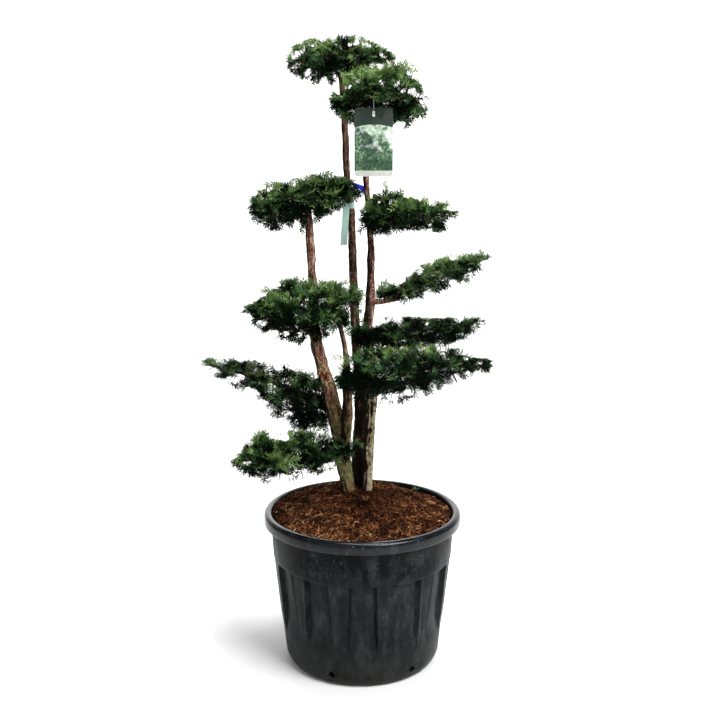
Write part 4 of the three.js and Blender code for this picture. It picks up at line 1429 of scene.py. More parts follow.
class PadSpace:
    """The space that one pad fills, measured as in the solids."""

    roundness = 0.55
    slimmest = 0.12
    outside = 9.0
    longest_ray = 400.0
    halvings = 18

    def __init__(self, plan: PadPlan) -> None:
        """Takes the pad's line and its directions.

        Args:
            plan: Line and outline of the pad.
        """
        self.plan = plan
        self.start = np.array(plan.start, float)
        self.run = np.array(plan.end, float) - self.start
        self.length = float(np.linalg.norm(self.run))
        self.along = self.run / self.length
        self.across = unit(np.cross(self.along, UP))
        self.skew = math.log(0.5) / math.log(plan.fullest)
        self.stations = np.linspace(0, 1, len(plan.rise))

    def centre(self, share: Array) -> Array:
        """Points of the pad's own line."""
        return self.start + np.asarray(share)[..., None] * self.run

    def wide(self, share: Array) -> Array:
        """Half the pad's depth at places along it."""
        bow = np.sin(math.pi * np.clip(share, 0, 1) ** self.skew)
        return self.plan.depth / 2 * np.maximum(self.slimmest, bow) ** self.roundness

    def tall(self, share: Array, upward: Array) -> Array:
        """Height above the pad's line, or below it where upward is false."""
        rise, fall = (np.interp(share, self.stations, row) for row in (self.plan.rise, self.plan.fall))
        return np.where(upward, rise, fall)

    def at(self, share: Array, turn: Array, out: Array) -> Array:
        """Points at places along the pad's line, angles about it and shares of the half-width."""
        side, lift = self.wide(share) * np.cos(turn), self.tall(share, np.sin(turn) > 0) * np.sin(turn)
        return self.centre(share) + np.multiply.outer(out * side, self.across) + np.multiply.outer(out * lift, UP)

    def measure(self, points: Array) -> tuple[Array, Array]:
        """How far out points stand in the pad.

        Args:
            points: Places, in millimetres.

        Returns:
            Share of the half-width, 1 at the outline and more outside it, and share of the height.
        """
        level = self.along[:2]
        share = (points - self.start)[..., :2] @ level / (level @ level) / self.length
        offset = points - self.centre(share)
        lift = offset[..., 2] / self.tall(share, offset[..., 2] > 0)
        out = np.hypot(offset @ self.across / self.wide(share), lift)
        return np.where((share <= 0.0) | (share >= 1.0), self.outside, out), lift

    def reach(self, starts: Array, ahead: Array) -> Array:
        """How far a ray runs before it leaves the pad.

        Args:
            starts: Where the rays start.
            ahead: Their directions.

        Returns:
            Distances, in millimetres.
        """
        near, far = np.zeros(starts.shape[:-1]), np.full(starts.shape[:-1], self.longest_ray)
        for _ in range(self.halvings):
            middle = (near + far) / 2
            held = self.measure(starts + ahead * middle[..., None])[0] < 1.0
            near, far = np.where(held, middle, near), np.where(held, far, middle)
        return near


@dataclass
class Sticks:
    """Straight lengths of twig: where each starts and points, its flat side, its length and its light."""

    start: Array
    ahead: Array
    face: Array
    length: Array
    light: Array

    def __len__(self) -> int:
        """Number of sticks."""
        return len(self.length)

    def kept(self, chosen: Array) -> "Sticks":
        """Only the chosen sticks."""
        return Sticks(*(values[chosen] for values in vars(self).values()))

    def point(self, share: Array) -> Array:
        """Points along the sticks, which sag a little with their length.

        Args:
            share: Share of the length, one for each stick or sticks x places.

        Returns:
            The points, in millimetres.
        """
        wide = (slice(None),) + (None,) * (share.ndim - 1)
        run = share * self.length[wide]
        sag = SAG * run * run * (1.0 - np.abs(self.ahead[:, 2]))[wide]
        return self.start[wide] + self.ahead[wide] * run[..., None] - UP * sag[..., None]

    def tips(self, share: float = 1.0) -> Array:
        """Points at one share of every stick's length."""
        return self.point(np.full(len(self), share))

    def leads(self, share: float) -> "Sticks":
        """The outer lengths of the sticks, beyond a share of each, which bear needles of their own."""
        return Sticks(self.tips(share), self.ahead, self.face, self.length * (1.0 - share), self.light)

    @staticmethod
    def joined(*groups: "Sticks") -> "Sticks":
        """Several groups as one."""
        return Sticks(*(np.concatenate(values) for values in zip(*(vars(group).values() for group in groups))))


@dataclass(frozen=True)
class SideGrowth:
    """Side sticks on a parent: how many, at what angle, from what share on, and how long at most."""

    count: int
    angle: float
    first: float
    size: float
    most: float


@dataclass(frozen=True)
class TwigGauge:
    """Wood of one kind of stick: the share of its length that has wood, its end radii, sides and rings."""

    share: float
    thick: float
    thin: float
    sides: int
    rings: int


@dataclass(frozen=True)
class GrowthRule:
    """How a pad branches: boughs by the golden angle, then flat sprays, then needle shoots."""

    boughs: int = 24
    fillers: int = 26
    lean: float = 1.1
    twist: float = 1.9
    shortest_bough: float = 12
    twigs: SideGrowth = SideGrowth(6, 50, 0.14, 0.62, 85)
    shoots: SideGrowth = SideGrowth(4, 44, 0.10, 0.85, 58)
    bearing_from: float = 0.3
    bare_bough: float = 0.2
    bare_twig: float = 0.12
    bare_stalk: float = 0.45
    lift: float = 0.14
    margin: float = 3
    ragged: float = 23
    notch: float = 26
    lobe_size: float = 58
    fringe: int = 44
    fringe_drop: float = 11
    fringe_sway: float = 9
    rim: float = 0.70
    rim_share: float = 0.55
    rim_stretch: float = 1.4
    shortest: float = 12
    clearance: float = 3
    clear_steps: int = 70
    clear_probes: tuple[float, ...] = (0.35, 0.7, 1.0)
    needle_step: float = 2.4
    fewest_needles: int = 8
    needle_length: float = 24
    needle_width: float = 3.0
    needle_foot: float = 0.28
    needle_belly: float = 0.55
    needle_angle: float = 60
    needle_close: float = 36
    free_length: float = 0.8
    free_cut: float = 11
    # Painted light and shade of the needles: how far out and how high a shoot stands, plus chance, sets its green.
    light_out: float = 0.45
    light_up: float = 0.34
    light_chance: float = 0.07
    shade_limits: Rows = ((0.40, 1), (0.74, 0.52), (0.93, 0.14))
    fresh_from: float = 0.66
    old_below: float = 0.30
    line_ends: tuple[float, float] = (0.06, 0.94)
    wood_sides: int = 8
    wood_rings: int = 9
    wood_sway: float = 8
    bough_gauge: TwigGauge = TwigGauge(0.97, 3.0, 0.9, 5, 4)
    twig_gauge: TwigGauge = TwigGauge(0.98, 1.35, 0.6, 4, 2)
    shoot_gauge: TwigGauge = TwigGauge(0.97, 0.8, 0.45, 3, 2)
    full_length: float = 70


@dataclass
class FoliagePad:
    """One clipped pad: its inner wood, its twigs and its needles."""

    plan: PadPlan
    index: int
    rule: GrowthRule = field(default_factory=GrowthRule)
    growth_seed: int = 700
    lobe_seed: int = 800
    row_seed: int = 100
    row_step: int = 17

    def __post_init__(self) -> None:
        """Measures the pad's space and seeds its growth."""
        self.space = PadSpace(self.plan)
        self.dealer = np.random.default_rng(self.growth_seed + self.index)
        self.lobes = GrainNoise(self.lobe_seed + self.index)

    def ragged_edge(self, points: Array) -> Array:
        """How far short of the pad's outline growth stops: a little by chance, more in its notches."""
        chance, lobes = self.dealer.random(len(points)) ** 1.5, self.lobes.at(points / self.rule.lobe_size)
        return self.rule.margin + self.rule.ragged * chance + self.rule.notch * np.clip(lobes, 0, 1)

    def face_of(self, ahead: Array, twist: Array) -> Array:
        """The flat side of a spray: level where it can be, then turned a little about its own line.

        Args:
            ahead: Directions of the sprays.
            twist: Turns, in radians.

        Returns:
            Directions square to the sprays.
        """
        level = UP - ahead * ahead[..., 2:3]
        sideways = self.space.across - ahead * (ahead @ self.space.across)[..., None]
        steep = np.linalg.norm(level, axis=-1, keepdims=True) < 0.35
        flat = unit(np.where(steep, sideways, level))
        return flat * np.cos(twist)[..., None] + np.cross(ahead, flat) * np.sin(twist)[..., None]

    def grow_boughs(self) -> Sticks:
        """The pad's boughs, where the solids have their sprays, and finer ones between them.

        Returns:
            The boughs.
        """
        row = SeedRow(self.row_seed + self.index * self.row_step)
        rule, space, dealer = self.rule, self.space, self.dealer
        phase = row.draw() * TURN
        starts = [space.centre(0.2 + 0.6 * end) for end in (0, 1)]
        lines = [space.along * (end * 2 - 1) for end in (0, 1)]
        twists = [row.draw() - 0.5 for _ in (0, 1)]
        for number in range(-rule.boughs, rule.fillers):
            filler = number >= 0
            i = number if filler else number + rule.boughs
            if filler:
                share = 0.06 + 0.88 * (i + dealer.random()) / rule.fillers
            else:
                share = (i + 0.5 + (row.draw() - 0.5) * 0.5) / rule.boughs
            turn = phase + (math.pi / 2 if filler else 0.0) + i * GOLDEN_TURN
            starts.append(space.centre(share))
            outward = unit(space.at(share, turn, 1.0) - starts[-1])
            lines.append(unit(outward + space.along * (share - 0.5) * rule.lean))
            twists.append(dealer.uniform(-0.5, 0.5) if filler else row.draw() - 0.5)
        start, line = np.array(starts), np.array(lines)
        reach = np.maximum(space.reach(start, line) - rule.margin, rule.shortest_bough)
        face = self.face_of(line, np.array(twists) * rule.twist)
        return Sticks(start, line, face, reach, dealer.normal(0.0, 0.16, len(start)))

    def branch(self, parents: Sticks, side: SideGrowth) -> Sticks:
        """Side growth from parent sticks, left and right in turn, held inside the pad.

        Args:
            parents: The sticks that bear it.
            side: How it stands on them.

        Returns:
            The side sticks.
        """
        dealer, step, shape = self.dealer, np.arange(side.count), (len(parents), side.count)
        spots = side.first + (0.94 - side.first) * (step + dealer.random(shape) * 0.8) / side.count
        hand = np.where(step % 2 == 0, 1.0, -1.0) * dealer.choice([-1.0, 1.0], (len(parents), 1))
        beside = np.cross(parents.ahead, parents.face)[:, None, :] * hand[..., None]
        bend = (np.radians(side.angle) + dealer.normal(0.0, 0.16, shape))[..., None]
        line = parents.ahead[:, None, :] * np.cos(bend) + beside * np.sin(bend)
        line = line + parents.face[:, None, :] * dealer.normal(0.0, 0.24, shape + (1,))
        line = unit(line + UP * self.rule.lift).reshape(-1, 3)
        start = parents.point(spots).reshape(-1, 3)
        longest = np.minimum(parents.length[:, None] * side.size * (1.25 - 0.75 * spots), side.most)
        longest = (longest * dealer.uniform(0.75, 1.1, shape)).reshape(-1)
        edge = self.ragged_edge(start + line * longest[:, None])
        length = np.minimum(self.space.reach(start, line) - edge, longest)
        light = (parents.light[:, None] + dealer.normal(0.0, 0.10, shape)).reshape(-1)
        face = self.face_of(line, dealer.normal(0.0, 0.75, len(line)))
        return Sticks(start, line, face, length, light).kept(length > self.rule.shortest)

    def clear(self, sticks: Sticks) -> Sticks:
        """The sticks that stand free of the limbs and of the label's front.

        Args:
            sticks: All the sticks.

        Returns:
            Those that are free.
        """
        shares = np.linspace(0, 1, self.rule.clear_steps)
        free = np.ones(len(sticks), bool)
        for spot in map(sticks.tips, self.rule.clear_probes):
            for line in LIMB_LINES.values():
                away = np.linalg.norm(spot[:, None, :] - line.at(shares)[None], axis=-1) - line.radius(shares)[None]
                free &= away.min(axis=1) > self.rule.clearance
            free &= ~HangLabel().covers(spot)
        return sticks.kept(free)

    def thinned(self, shoots: Sticks) -> Sticks:
        """Opens the pad's rim: fewer shoots there, and those that stay run on further.

        Args:
            shoots: All the shoots.

        Returns:
            Those that stay.
        """
        rule = self.rule
        rim = self.space.measure(shoots.tips())[0] > rule.rim
        stays = ~rim | (self.dealer.random(len(rim)) < rule.rim_share)
        kept, rim = shoots.kept(stays), rim[stays]
        spare = self.space.reach(kept.start, kept.ahead) - rule.margin
        longer = np.maximum(np.minimum(kept.length * rule.rim_stretch, spare), kept.length)
        kept.length = np.where(rim, longer, kept.length)
        return kept

    def fringe(self) -> Sticks:
        """Short shoots that hang from the pad's underside, a little past its outline.

        Returns:
            The shoots.
        """
        rule, dealer, space, count = self.rule, self.dealer, self.space, self.rule.fringe
        share = (np.arange(count) + dealer.random(count)) / count * 0.94 + 0.03
        turn = -math.pi / 2 + dealer.uniform(-0.6, 0.6, count)
        start = space.at(share, turn, 0.6)
        drop = UP * (rule.fringe_drop * dealer.random(count))[:, None]
        sway = space.along * dealer.normal(0.0, rule.fringe_sway, (count, 1))
        run = space.at(share, turn, 1.0) + sway - drop - start
        length = np.maximum(np.linalg.norm(run, axis=-1) - rule.free_cut, rule.shortest)
        line = unit(run)
        return Sticks(start, line, self.face_of(line, dealer.normal(0.0, 0.9, count)), length, np.zeros(count))

    def depth_at(self, x: Array) -> Array:
        """Depth of the pad's own line at places across it."""
        share = np.clip((x - self.space.start[0]) / self.space.run[0], 0, 1)
        return self.space.start[1] + self.space.run[1] * share

    def in_sky(self, points: Array) -> Array:
        """Whether points stand in one of the pad's openings, seen from the front.

        Args:
            points: The points, in millimetres.

        Returns:
            True for each that does.
        """
        inside = np.zeros(len(points), bool)
        for right, over, long, short, tilt in SKY[self.plan.name]:
            x, z = right + self.plan.start[0], over + self.plan.start[2]
            seen = shifted(points, np.full(len(points), self.depth_at(x)))
            turn = math.radians(tilt)
            across, up = seen[:, 0] - x, seen[:, 2] - z
            along = (across * math.cos(turn) + up * math.sin(turn)) / long
            aside = (up * math.cos(turn) - across * math.sin(turn)) / short
            inside |= along**2 + aside**2 < self.dealer.uniform(0.8, 1.6, len(points))
        return inside

    def free_tips(self) -> Sticks:
        """Single shoots that stand free at the pad's rim, each in two lengths that bend.

        Returns:
            The lengths.
        """
        steps = np.array(TIPS[self.plan.name], float).reshape(-1, 3, 2)
        x, z = np.moveaxis(steps.cumsum(axis=1) + self.space.start[::2], -1, 0)
        flat = xyz(x, self.depth_at(x), z)
        push = self.dealer.uniform(-0.2, 0.2, (len(flat), 1)) * self.plan.depth
        spots = shifted(flat, flat[..., 1] + push)
        runs = np.diff(spots, axis=1).reshape(-1, 3)
        ahead, length = unit(runs), np.linalg.norm(runs, axis=-1)
        length[1::2] = np.maximum(length[1::2] - self.rule.free_cut, self.rule.shortest)
        front = np.array([0.0, -0.85, 0.55]) + self.dealer.normal(0.0, 0.25, (len(runs), 3))
        face = unit(front - ahead * (front * ahead).sum(axis=-1, keepdims=True))
        return Sticks(spots[:, :2].reshape(-1, 3), ahead, face, length, np.zeros(len(runs)))

    def stalks(self, tips: Sticks) -> Sticks:
        """Twigs that carry the free shoots out from the pad's own line.

        Args:
            tips: The free shoots, two lengths for each.

        Returns:
            The twigs.
        """
        space, ends = self.space, tips.start[::2]
        start = space.centre(np.clip((ends - space.start) @ space.along / space.length, *self.rule.line_ends))
        run = ends - start
        length = np.linalg.norm(run, axis=-1)
        sag = SAG * length**2 * (1.0 - np.abs(run[:, 2]) / length)
        line, none = unit(run + UP * sag[:, None]), np.zeros(len(ends))
        return Sticks(start, line, self.face_of(line, none), length, none)

    def wood(self) -> tuple[Array, Array]:
        """The two leaders that carry the limb on along the pad's line.

        Returns:
            Lines and radii for sweeping.
        """
        line, space, rule = LIMB_LINES[self.plan.limb], self.space, self.rule
        tip, before = line.at(np.array([1.0, 0.985]))
        hub = space.centre(np.clip((tip - space.start) @ space.along / space.length, 0.12, 0.88))
        on = np.linspace(0, 1, rule.wood_rings)[:, None]
        back = 1 - on
        paths, radii = [], []
        for end in rule.line_ends:
            goal = space.centre(end)
            bend = hub + (goal - hub) * 0.2
            curve = back**3 * before + 3 * back**2 * on * (tip + (tip - before))
            curve = curve + 3 * back * on**2 * bend + on**3 * goal
            paths.append(curve + UP * rule.wood_sway * np.sin(np.pi * on) * self.dealer.normal(0.0, 1.0))
            radii.append(line.radii[-1] * (1.0 - 0.8 * on[:, 0] ** 0.8))
        return np.array(paths), np.array(radii)

    def twig_piece(self, boughs: Sticks, twigs: Sticks, shoots: Sticks) -> None:
        """Joins all the wood of the pad as one piece.

        Args:
            boughs: The pad's boughs.
            twigs: Their side twigs.
            shoots: The needle shoots.
        """
        rule = self.rule
        buffer = MeshBuffer()
        buffer.add(*sweep(*self.wood(), rule.wood_sides))
        for sticks, gauge in ((boughs, rule.bough_gauge), (twigs, rule.twig_gauge), (shoots, rule.shoot_gauge)):
            steps = np.linspace(0.0, gauge.share, gauge.rings)
            paths = sticks.point(np.broadcast_to(steps, (len(sticks), gauge.rings)))
            slim = np.clip(sticks.length / rule.full_length, 0.5, 1.2)[:, None]
            buffer.add(*sweep(paths, slim * np.linspace(gauge.thick, gauge.thin, gauge.rings), gauge.sides))
        place(buffer.make("twigs_" + self.plan.name, [TWIG], True), "bark", self.plan.name)

    def needle_piece(self, shoots: Sticks, shades: Array, free: Array) -> None:
        """Joins all the needles of the pad, in two flat ranks along every shoot, fresher towards its tip.

        Args:
            shoots: The needle shoots.
            shades: Shade number of each shoot.
            free: Whether each shoot may cross the pad's openings.
        """
        rule, dealer = self.rule, self.dealer
        counts = np.maximum(np.rint(shoots.length / rule.needle_step), rule.fewest_needles).astype(int)
        bearer = np.repeat(np.arange(len(counts)), counts)
        total = len(bearer)
        number = np.arange(total) - np.repeat(np.cumsum(counts) - counts, counts)
        step = (number + 0.2 + 0.6 * dealer.random(total)) / counts[bearer]
        hand = np.where(number % 2 == 0, 1.0, -1.0)[:, None]
        shoot, free, shades = shoots.kept(bearer), free[bearer], shades[bearer]
        base = shoot.point(step)
        side = np.cross(shoot.ahead, shoot.face) * hand
        angle = np.radians(rule.needle_angle - rule.needle_close * step**3)
        splay = (angle + dealer.normal(0.0, 0.15, total))[:, None]
        raised = dealer.normal(0.22, 0.2, (total, 1))
        line = unit(shoot.ahead * np.cos(splay) + side * np.sin(splay) + shoot.face * raised)
        face = unit(shoot.face - line * (line * shoot.face).sum(-1, keepdims=True))
        roll = dealer.normal(0.0, 0.28, (total, 1))
        face = face * np.cos(roll) + np.cross(line, face) * np.sin(roll)
        swell = 0.68 + 0.32 * np.sin(np.pi * np.clip(0.15 + 0.8 * step, 0, 1))
        swell = swell * np.where(free, rule.free_length, 1.0)
        length = (rule.needle_length * swell * dealer.uniform(0.8, 1.12, total))[:, None]
        edge = np.cross(line, face) * rule.needle_width * dealer.uniform(0.85, 1.1, (total, 1))
        foot, half = edge * rule.needle_foot, edge / 2
        middle = base + line * length * rule.needle_belly
        tip = base + line * length - face * length * dealer.normal(0.10, 0.08, (total, 1))
        rows = np.stack([base - foot, base + foot, middle - half, middle + half, tip], axis=1)
        fresher = (step > rule.fresh_from).astype(int) - (step < rule.old_below)
        tones = np.clip(shades + np.where(shades > 0, fresher, 0), 0, len(Shade) - 1)
        stays = free | ~(self.in_sky(middle) | self.in_sky(tip))
        buffer = MeshBuffer()
        for shade in Shade:
            chosen = rows[stays & (tones == shade.value)]
            buffer.add(chosen, *blade_faces(len(chosen)), coat=shade.value)
        place(buffer.make("needles_" + self.plan.name, NEEDLES, False), "foliage", self.plan.name)

    def shade(self, shoots: Sticks) -> Array:
        """Deals out the greens as painted light and shade: deep inside, below and in shaded pads, fresh and pale on
        the upper tips.

        Args:
            shoots: The needle shoots.

        Returns:
            Shade number of each shoot.
        """
        rule, (out, lift) = self.rule, self.space.measure(shoots.tips(0.9))
        light = rule.light_out * np.clip(out, 0, 1) + rule.light_up * np.clip(lift, -1, 1) + shoots.light
        light += self.dealer.normal(0.0, rule.light_chance, len(light))
        limits = np.quantile(light, [share + self.plan.painted_shade * more for share, more in rule.shade_limits])
        return np.searchsorted(limits, light)

    def spire(self, share: float, reach: float) -> Sticks:
        """The upright leader at a share of the pad's line, as two shoots turned square to each other."""
        start, faces = self.space.centre(np.full(2, share)), np.stack([self.space.across, self.space.along])
        return Sticks(start, np.tile(UP, (2, 1)), faces, np.full(2, reach), np.zeros(2))

    def build(self) -> None:
        """Grows the pad and makes its two pieces."""
        rule = self.rule
        boughs = self.grow_boughs()
        twigs = self.branch(boughs, rule.twigs)
        shoots = self.branch(Sticks.joined(boughs.leads(rule.bearing_from), twigs), rule.shoots)
        shoots = self.thinned(Sticks.joined(boughs.leads(rule.bare_bough), twigs.leads(rule.bare_twig), shoots))
        shoots = self.clear(Sticks.joined(shoots, self.fringe()))
        shades = self.shade(shoots)
        if self.plan.leader:
            shoots = Sticks.joined(shoots, self.spire(*self.plan.leader))
            shades = np.concatenate([shades, [Shade.PALE.value, Shade.FRESH.value]])
        tips = self.free_tips()
        stalks = self.stalks(tips)
        leafy = self.clear(stalks.leads(rule.bare_stalk))
        # Painted light: free shoots above the pad's line take the fresh green, those below it the leaf green.
        lifted = self.space.measure(tips.tips())[1] > 0.0
        shades = np.concatenate([shades, np.full(len(leafy), Shade.LEAF.value),
                                 np.where(lifted, Shade.FRESH.value, Shade.LEAF.value)])
        free = np.arange(len(shades)) >= len(shades) - len(tips)
        shoots = Sticks.joined(shoots, leafy, tips)
        self.twig_piece(boughs, Sticks.joined(twigs, stalks), shoots)
        self.needle_piece(shoots, shades, free)


@dataclass
class HangLabel:
    """The hanging label: a bowed card with a dark head, a soft garden print, a pale foot and a strap."""

    width: float = 122
    tall: float = 212
    thick: float = 1.2
    corner: float = 7
    x: float = 35
    y: float = -116
    z: float = 1681
    foot: float = 18
    head: float = 52
    arch: float = 9
    bow: float = 3.0
    belly: float = 2.0
    columns: int = 37
    zones: tuple[tuple[int, int], ...] = ((6, 2), (24, 1), (10, 0))
    strap_width: float = 1.8
    strap_thick: float = 0.7
    strap_rise: float = 36
    strap_foot: float = 16
    slot_wide: float = 7
    slot_tall: float = 14
    slot_drop: float = 19
    slot_sides: int = 32
    slot_rings: Rows = ((1.25, 0.05), (1.2, 0.7), (0.9, 0.7), (0.82, 0.1), (0.1, 0.1))
    clear_box: Rows = ((-69, -math.inf, -6), (69, 14, 226))

    def covers(self, points: Array) -> Array:
        """Whether points stand on the label or in front of it."""
        low, high = np.array(self.clear_box) + np.array([self.x, self.y, self.z])
        return ((points > low) & (points < high)).all(axis=1)

    def bowed(self, flat: Array, lift: float) -> Array:
        """Flat points of the card set in place with its gentle bow.

        Args:
            flat: Places across and up the card, from its lower middle.
            lift: Distance in front of the card's middle.

        Returns:
            The points, in millimetres.
        """
        across, up = flat[..., 0], flat[..., 1]
        depth = self.bow * (across / self.width * 2.0) ** 2 - self.belly * np.sin(math.pi * up / self.tall)
        return xyz(across + self.x, self.y - lift + depth, up + self.z)

    def card(self) -> None:
        """Hangs the card itself, with rounded corners and three printed zones."""
        across, level = np.linspace(-1.0, 1.0, self.columns), np.zeros(self.columns)
        edges = (level, level + self.foot, self.tall - self.head - self.arch * across**2, level + self.tall)
        buffer = MeshBuffer()
        for low, high, (rows, coat) in zip(edges, edges[1:], self.zones):
            up = low + (high - low) * np.linspace(0, 1, rows)[:, None]
            into = np.maximum(self.corner - np.minimum(up, self.tall - up), 0.0)
            inset = self.corner - np.sqrt(np.maximum(self.corner**2 - into**2, 0.0))
            flat = np.stack([across * (self.width / 2 - inset), up], axis=-1)
            buffer.add_sheet(self.bowed(flat, self.thick / 2), self.bowed(flat, -self.thick / 2), coat)
        coats = [finish.material() for finish in (LABEL_HEAD, LeafPrint(), LABEL_FOOT)]
        place(buffer.make("hang_label_card", coats, True), "label", "hang_label")

    def strap(self) -> None:
        """Leads the strap through the slot, up and over a twig, with its free end behind."""
        foot, top, bend = self.tall - self.strap_foot, self.tall, self.tall + self.strap_rise
        line = np.array([
            (0, 2.2, foot), (0, 3.0, foot + 8), (0.5, 2.0, top + 6), (1.0, 0.5, top + 18), (0.5, -1.0, bend - 5),
            (0.0, -6.0, bend - 0.6), (-0.5, -11.0, bend - 6), (-0.5, -9.0, top + 12), (0, -5.0, top - 6),
        ])
        across, ahead, up = line.T[..., None]
        across = across + np.array([-0.5, 0.0, 0.5]) * self.strap_width
        front, back = (
            xyz(self.x + across, self.y - ahead - half * self.strap_thick, self.z + up) for half in (0.5, -0.5)
        )
        buffer = MeshBuffer()
        buffer.add_sheet(front, back)
        place(buffer.make("hang_label_strap", [LABEL_STRAP.material()], True), "label", "hang_label")

    def slot_plate(self) -> None:
        """Sets the pale rim round the strap's slot."""
        turns = ring_turns(self.slot_sides)
        ring = np.stack([np.cos(turns), np.sin(turns)], axis=-1)
        ring = np.sign(ring) * np.abs(ring) ** 0.5
        middle = np.array([0.0, self.tall - self.slot_drop])
        sizes = np.array([self.slot_wide / 2, self.slot_tall / 2])
        rows = [self.bowed(middle + ring * sizes * grow, self.thick / 2 + rise) for grow, rise in self.slot_rings]
        buffer = MeshBuffer()
        buffer.add(np.stack(rows), grid_faces(len(rows), self.slot_sides, True))
        place(buffer.make("hang_label_slot", [LABEL_SLOT.material()], True), "label")

    def build(self) -> None:
        """Hangs the label with its strap."""
        self.card()
        self.strap()
        self.slot_plate()


@dataclass
class StemRibbon:
    """A flat marking ribbon, wound once round the middle stem with one end hanging."""

    wide: float = 24
    length: float = 144
    thick: float = 0.7
    top_z: float = 1594
    centre_x: float = -55
    stand_off: float = 2.2
    slant: float = 10
    wave: float = 3.0
    curl: float = 2.5
    skew: float = 1.5
    rows: int = 26
    columns: int = 7
    wind_drop: float = 8
    wind_tilt: float = 2
    wind_rings: Rows = ((1.6, -10), (2.4, -7), (2.7, 0), (2.4, 7), (1.6, 10))
    wind_sides: int = 30

    def build(self) -> None:
        """Hangs the ribbon in place of its solid."""
        stem, radius = LIMB_LINES["stem_centre"].passing(self.top_z)
        share = np.linspace(0, 1, self.rows)[:, None]
        across = np.linspace(-0.5, 0.5, self.columns)[None, :]
        x = self.centre_x + across * self.wide - self.slant * share
        y = stem[1] - radius - self.stand_off - self.wave * np.sin(2.4 * math.pi * share) * share
        y = y + self.curl * across * np.sin(3.0 * share)
        sheet = xyz(x, y, self.top_z - self.length * share + self.skew * across)
        buffer = MeshBuffer()
        buffer.add_sheet(sheet + np.array([0.0, self.thick, 0.0]), sheet)
        turns = ring_turns(self.wind_sides)
        grow, rise = np.array(self.wind_rings, float).T[..., None]
        away = radius + grow
        lift = stem[2] - self.wind_drop + rise + self.wind_tilt * np.cos(turns)
        wind = xyz(stem[0] + away * np.cos(turns), stem[1] + away * np.sin(turns), lift)
        buffer.add(wind, grid_faces(len(wind), self.wind_sides, True))
        place(buffer.make("marking_ribbon", [RIBBON_MINT.material()], True), "ribbon", "ribbon")


@dataclass
class StemTie:
    """A slanting hank of blue tubing between the middle and right stems, wound on to the middle one."""

    high_z: float = 1666
    low_z: float = 1632
    tube: float = 2.8
    sides: int = 8
    strands: int = 10
    points: int = 14
    bundle: float = 6.5
    slack: float = 5.5
    wind_share: float = 0.6
    wind_gap: float = 1.4
    wind_tilt: float = 0.12
    wind_points: int = 33
    seed: int = 57

    def hank(self, start: Array, end: Array) -> Array:
        """Strands that lie round a straight line, each with its own slack.

        Args:
            start: One end of the line.
            end: The other end.

        Returns:
            Lines x points x 3.
        """
        dealer = np.random.default_rng(self.seed)
        steps = np.linspace(0, 1, self.points)[None, :, None]
        side = unit(np.cross(end - start, UP))
        turns = ring_turns(self.strands)[:, None]
        spread = (np.cos(turns) * side + np.sin(turns) * UP)[:, None, :] * self.bundle
        droop = dealer.uniform(-self.slack, self.slack, (self.strands, 1, 3)) * np.sin(math.pi * steps)
        twist = 0.35 + 1.25 * steps + 0.25 * np.cos(5.0 * steps + turns[..., None])
        return start + (end - start) * steps + spread * twist + droop

    def wind(self, centre: Array, radius: float, tube: float) -> Array:
        """One ring of tubing round a stem, a little off level."""
        turns, away = np.linspace(0.0, TURN, self.wind_points)[None], radius + tube + self.wind_gap
        return centre + xyz(np.cos(turns), np.sin(turns), self.wind_tilt * np.cos(turns)) * away

    def build(self) -> None:
        """Ties the stems in place of the solid."""
        left, left_radius = LIMB_LINES["stem_centre"].passing(self.high_z)
        right, right_radius = LIMB_LINES["stem_right"].passing(self.low_z)
        run = unit((right - left) * np.array([1.0, 1.0, 0.0]))
        behind = right + np.array([0.0, right_radius + self.bundle + self.tube, 0.0])
        thin = self.tube * self.wind_share
        hank = self.hank(left + run * (left_radius + self.bundle), behind)
        buffer = MeshBuffer()
        for paths, tube in ((hank, self.tube), (self.wind(left, left_radius, thin), thin)):
            buffer.add(*sweep(paths, np.full(paths.shape[:2], tube), self.sides))
        place(buffer.make("stem_tie_tubing", [TIE_BLUE.material()], True), "tie", "stem_tie")


@dataclass(frozen=True)
class Lamp:
    """One soft area light: its place and aim in metres, its watts and the side of its panel."""

    name: str
    spot: tuple[float, float, float]
    aim: tuple[float, float, float]
    power: float
    size: float

    def build(self) -> None:
        """Hangs the light."""
        light = bpy.data.lights.new(self.name, "AREA")
        light.energy = self.power
        light.size = self.size
        lamp = bpy.data.objects.new(self.name, light)
        lamp.location = self.spot
        lamp.rotation_euler = (Vector(self.aim) - Vector(self.spot)).to_track_quat("-Z", "Y").to_euler()
        bpy.context.scene.collection.objects.link(lamp)


LAMPS = (
    Lamp("key", (2.1, -2.3, 4.2), (0.0, 0.0, 1.1), 310.0, 2.4),
    Lamp("fill", (-1.6, -3.1, 2.4), (0.0, 0.0, 1.0), 14.0, 2.4),
    Lamp("top", (0.2, 0.4, 4.6), (0.0, 0.0, 1.0), 215.0, 1.6),
    Lamp("back", (-0.6, 3.4, 3.2), (0.0, 0.0, 1.2), 50.0, 2.4),
    Lamp("wall_left", (-4.0, 4.0, 3.4), (-1.5, 9.0, 2.6), 420.0, 3.0),
    Lamp("wall_right", (4.0, 4.0, 3.4), (1.5, 9.0, 2.6), 420.0, 3.0),
)


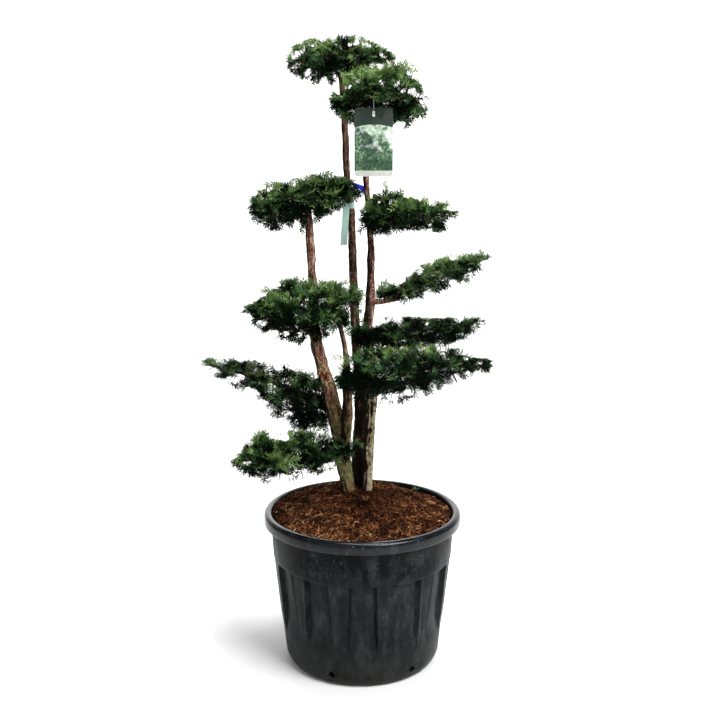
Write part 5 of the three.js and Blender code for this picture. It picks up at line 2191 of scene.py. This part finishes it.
@dataclass
class Studio:
    """Pale paper, soft lights and the camera at the photograph's own angle."""

    pitch: float = 10.25
    lens: float = 46.6
    sensor: float = 36.0
    reach: float = 14.0
    sweep_radius: float = 2.0
    sweep_rows: int = 16
    wall_share: float = 0.7
    sky_light: float = 0.30
    columns: int = 9

    def paper(self) -> None:
        """Lays the floor and the wall behind it, as one curved sheet."""
        corner, bend = self.reach / 2, np.linspace(0.0, math.pi / 2, self.sweep_rows)
        line = [(-self.reach, 0.0)]
        line += [(corner + self.sweep_radius * math.sin(a), self.sweep_radius * (1 - math.cos(a))) for a in bend]
        line.append((corner + self.sweep_radius, self.reach * self.wall_share))
        back, up = np.array(line).T[..., None] / MM
        across = np.linspace(-self.reach, self.reach, self.columns) / MM
        buffer = MeshBuffer()
        buffer.add(xyz(across, back, up), grid_faces(len(line), self.columns, False))
        sheet = buffer.make("studio_paper", [FloorPaper().material()], True)

    def camera(self) -> None:
        """Sets up the camera."""
        data = bpy.data.cameras.new("camera")
        data.lens = self.lens
        data.sensor_width = self.sensor
        camera = bpy.data.objects.new("camera", data)
        camera.location = EYE * MM
        camera.rotation_euler = (math.radians(90.0 - self.pitch), 0.0, 0.0)
        bpy.context.scene.collection.objects.link(camera)
        bpy.context.scene.camera = camera

    def build(self) -> None:
        """Lays the paper, lights it and sets up the camera."""
        self.paper()
        for lamp in LAMPS:
            lamp.build()
        world = bpy.data.worlds.new("studio")
        world.use_nodes = True
        ground = world.node_tree.nodes["Background"]
        ground.inputs["Color"].default_value = (1.0, 1.0, 1.0, 1.0)
        ground.inputs["Strength"].default_value = self.sky_light
        bpy.context.scene.world = world
        bpy.context.scene.view_settings.view_transform = "Standard"
        self.camera()


def main() -> None:
    """Builds the whole plant in order."""
    logging.basicConfig(level=logging.INFO, format="%(name)s %(message)s")
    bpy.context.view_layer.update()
    Studio().build()
    NurseryPot().build()
    BarkMulch().build()
    for number, name in enumerate(LIMB_LINES):
        upright = name in STEM_ROWS
        columns, knots = (44, 5) if upright else (32, 1)
        BarkLimb(name, upright, LIMB_SEED + number, columns, knots).build()
    for index, plan in enumerate(PAD_PLANS):
        FoliagePad(plan, index).build()
    HangLabel().build()
    StemRibbon().build()
    StemTie().build()
    bpy.context.view_layer.update()


if __name__ == "__main__":
    main()
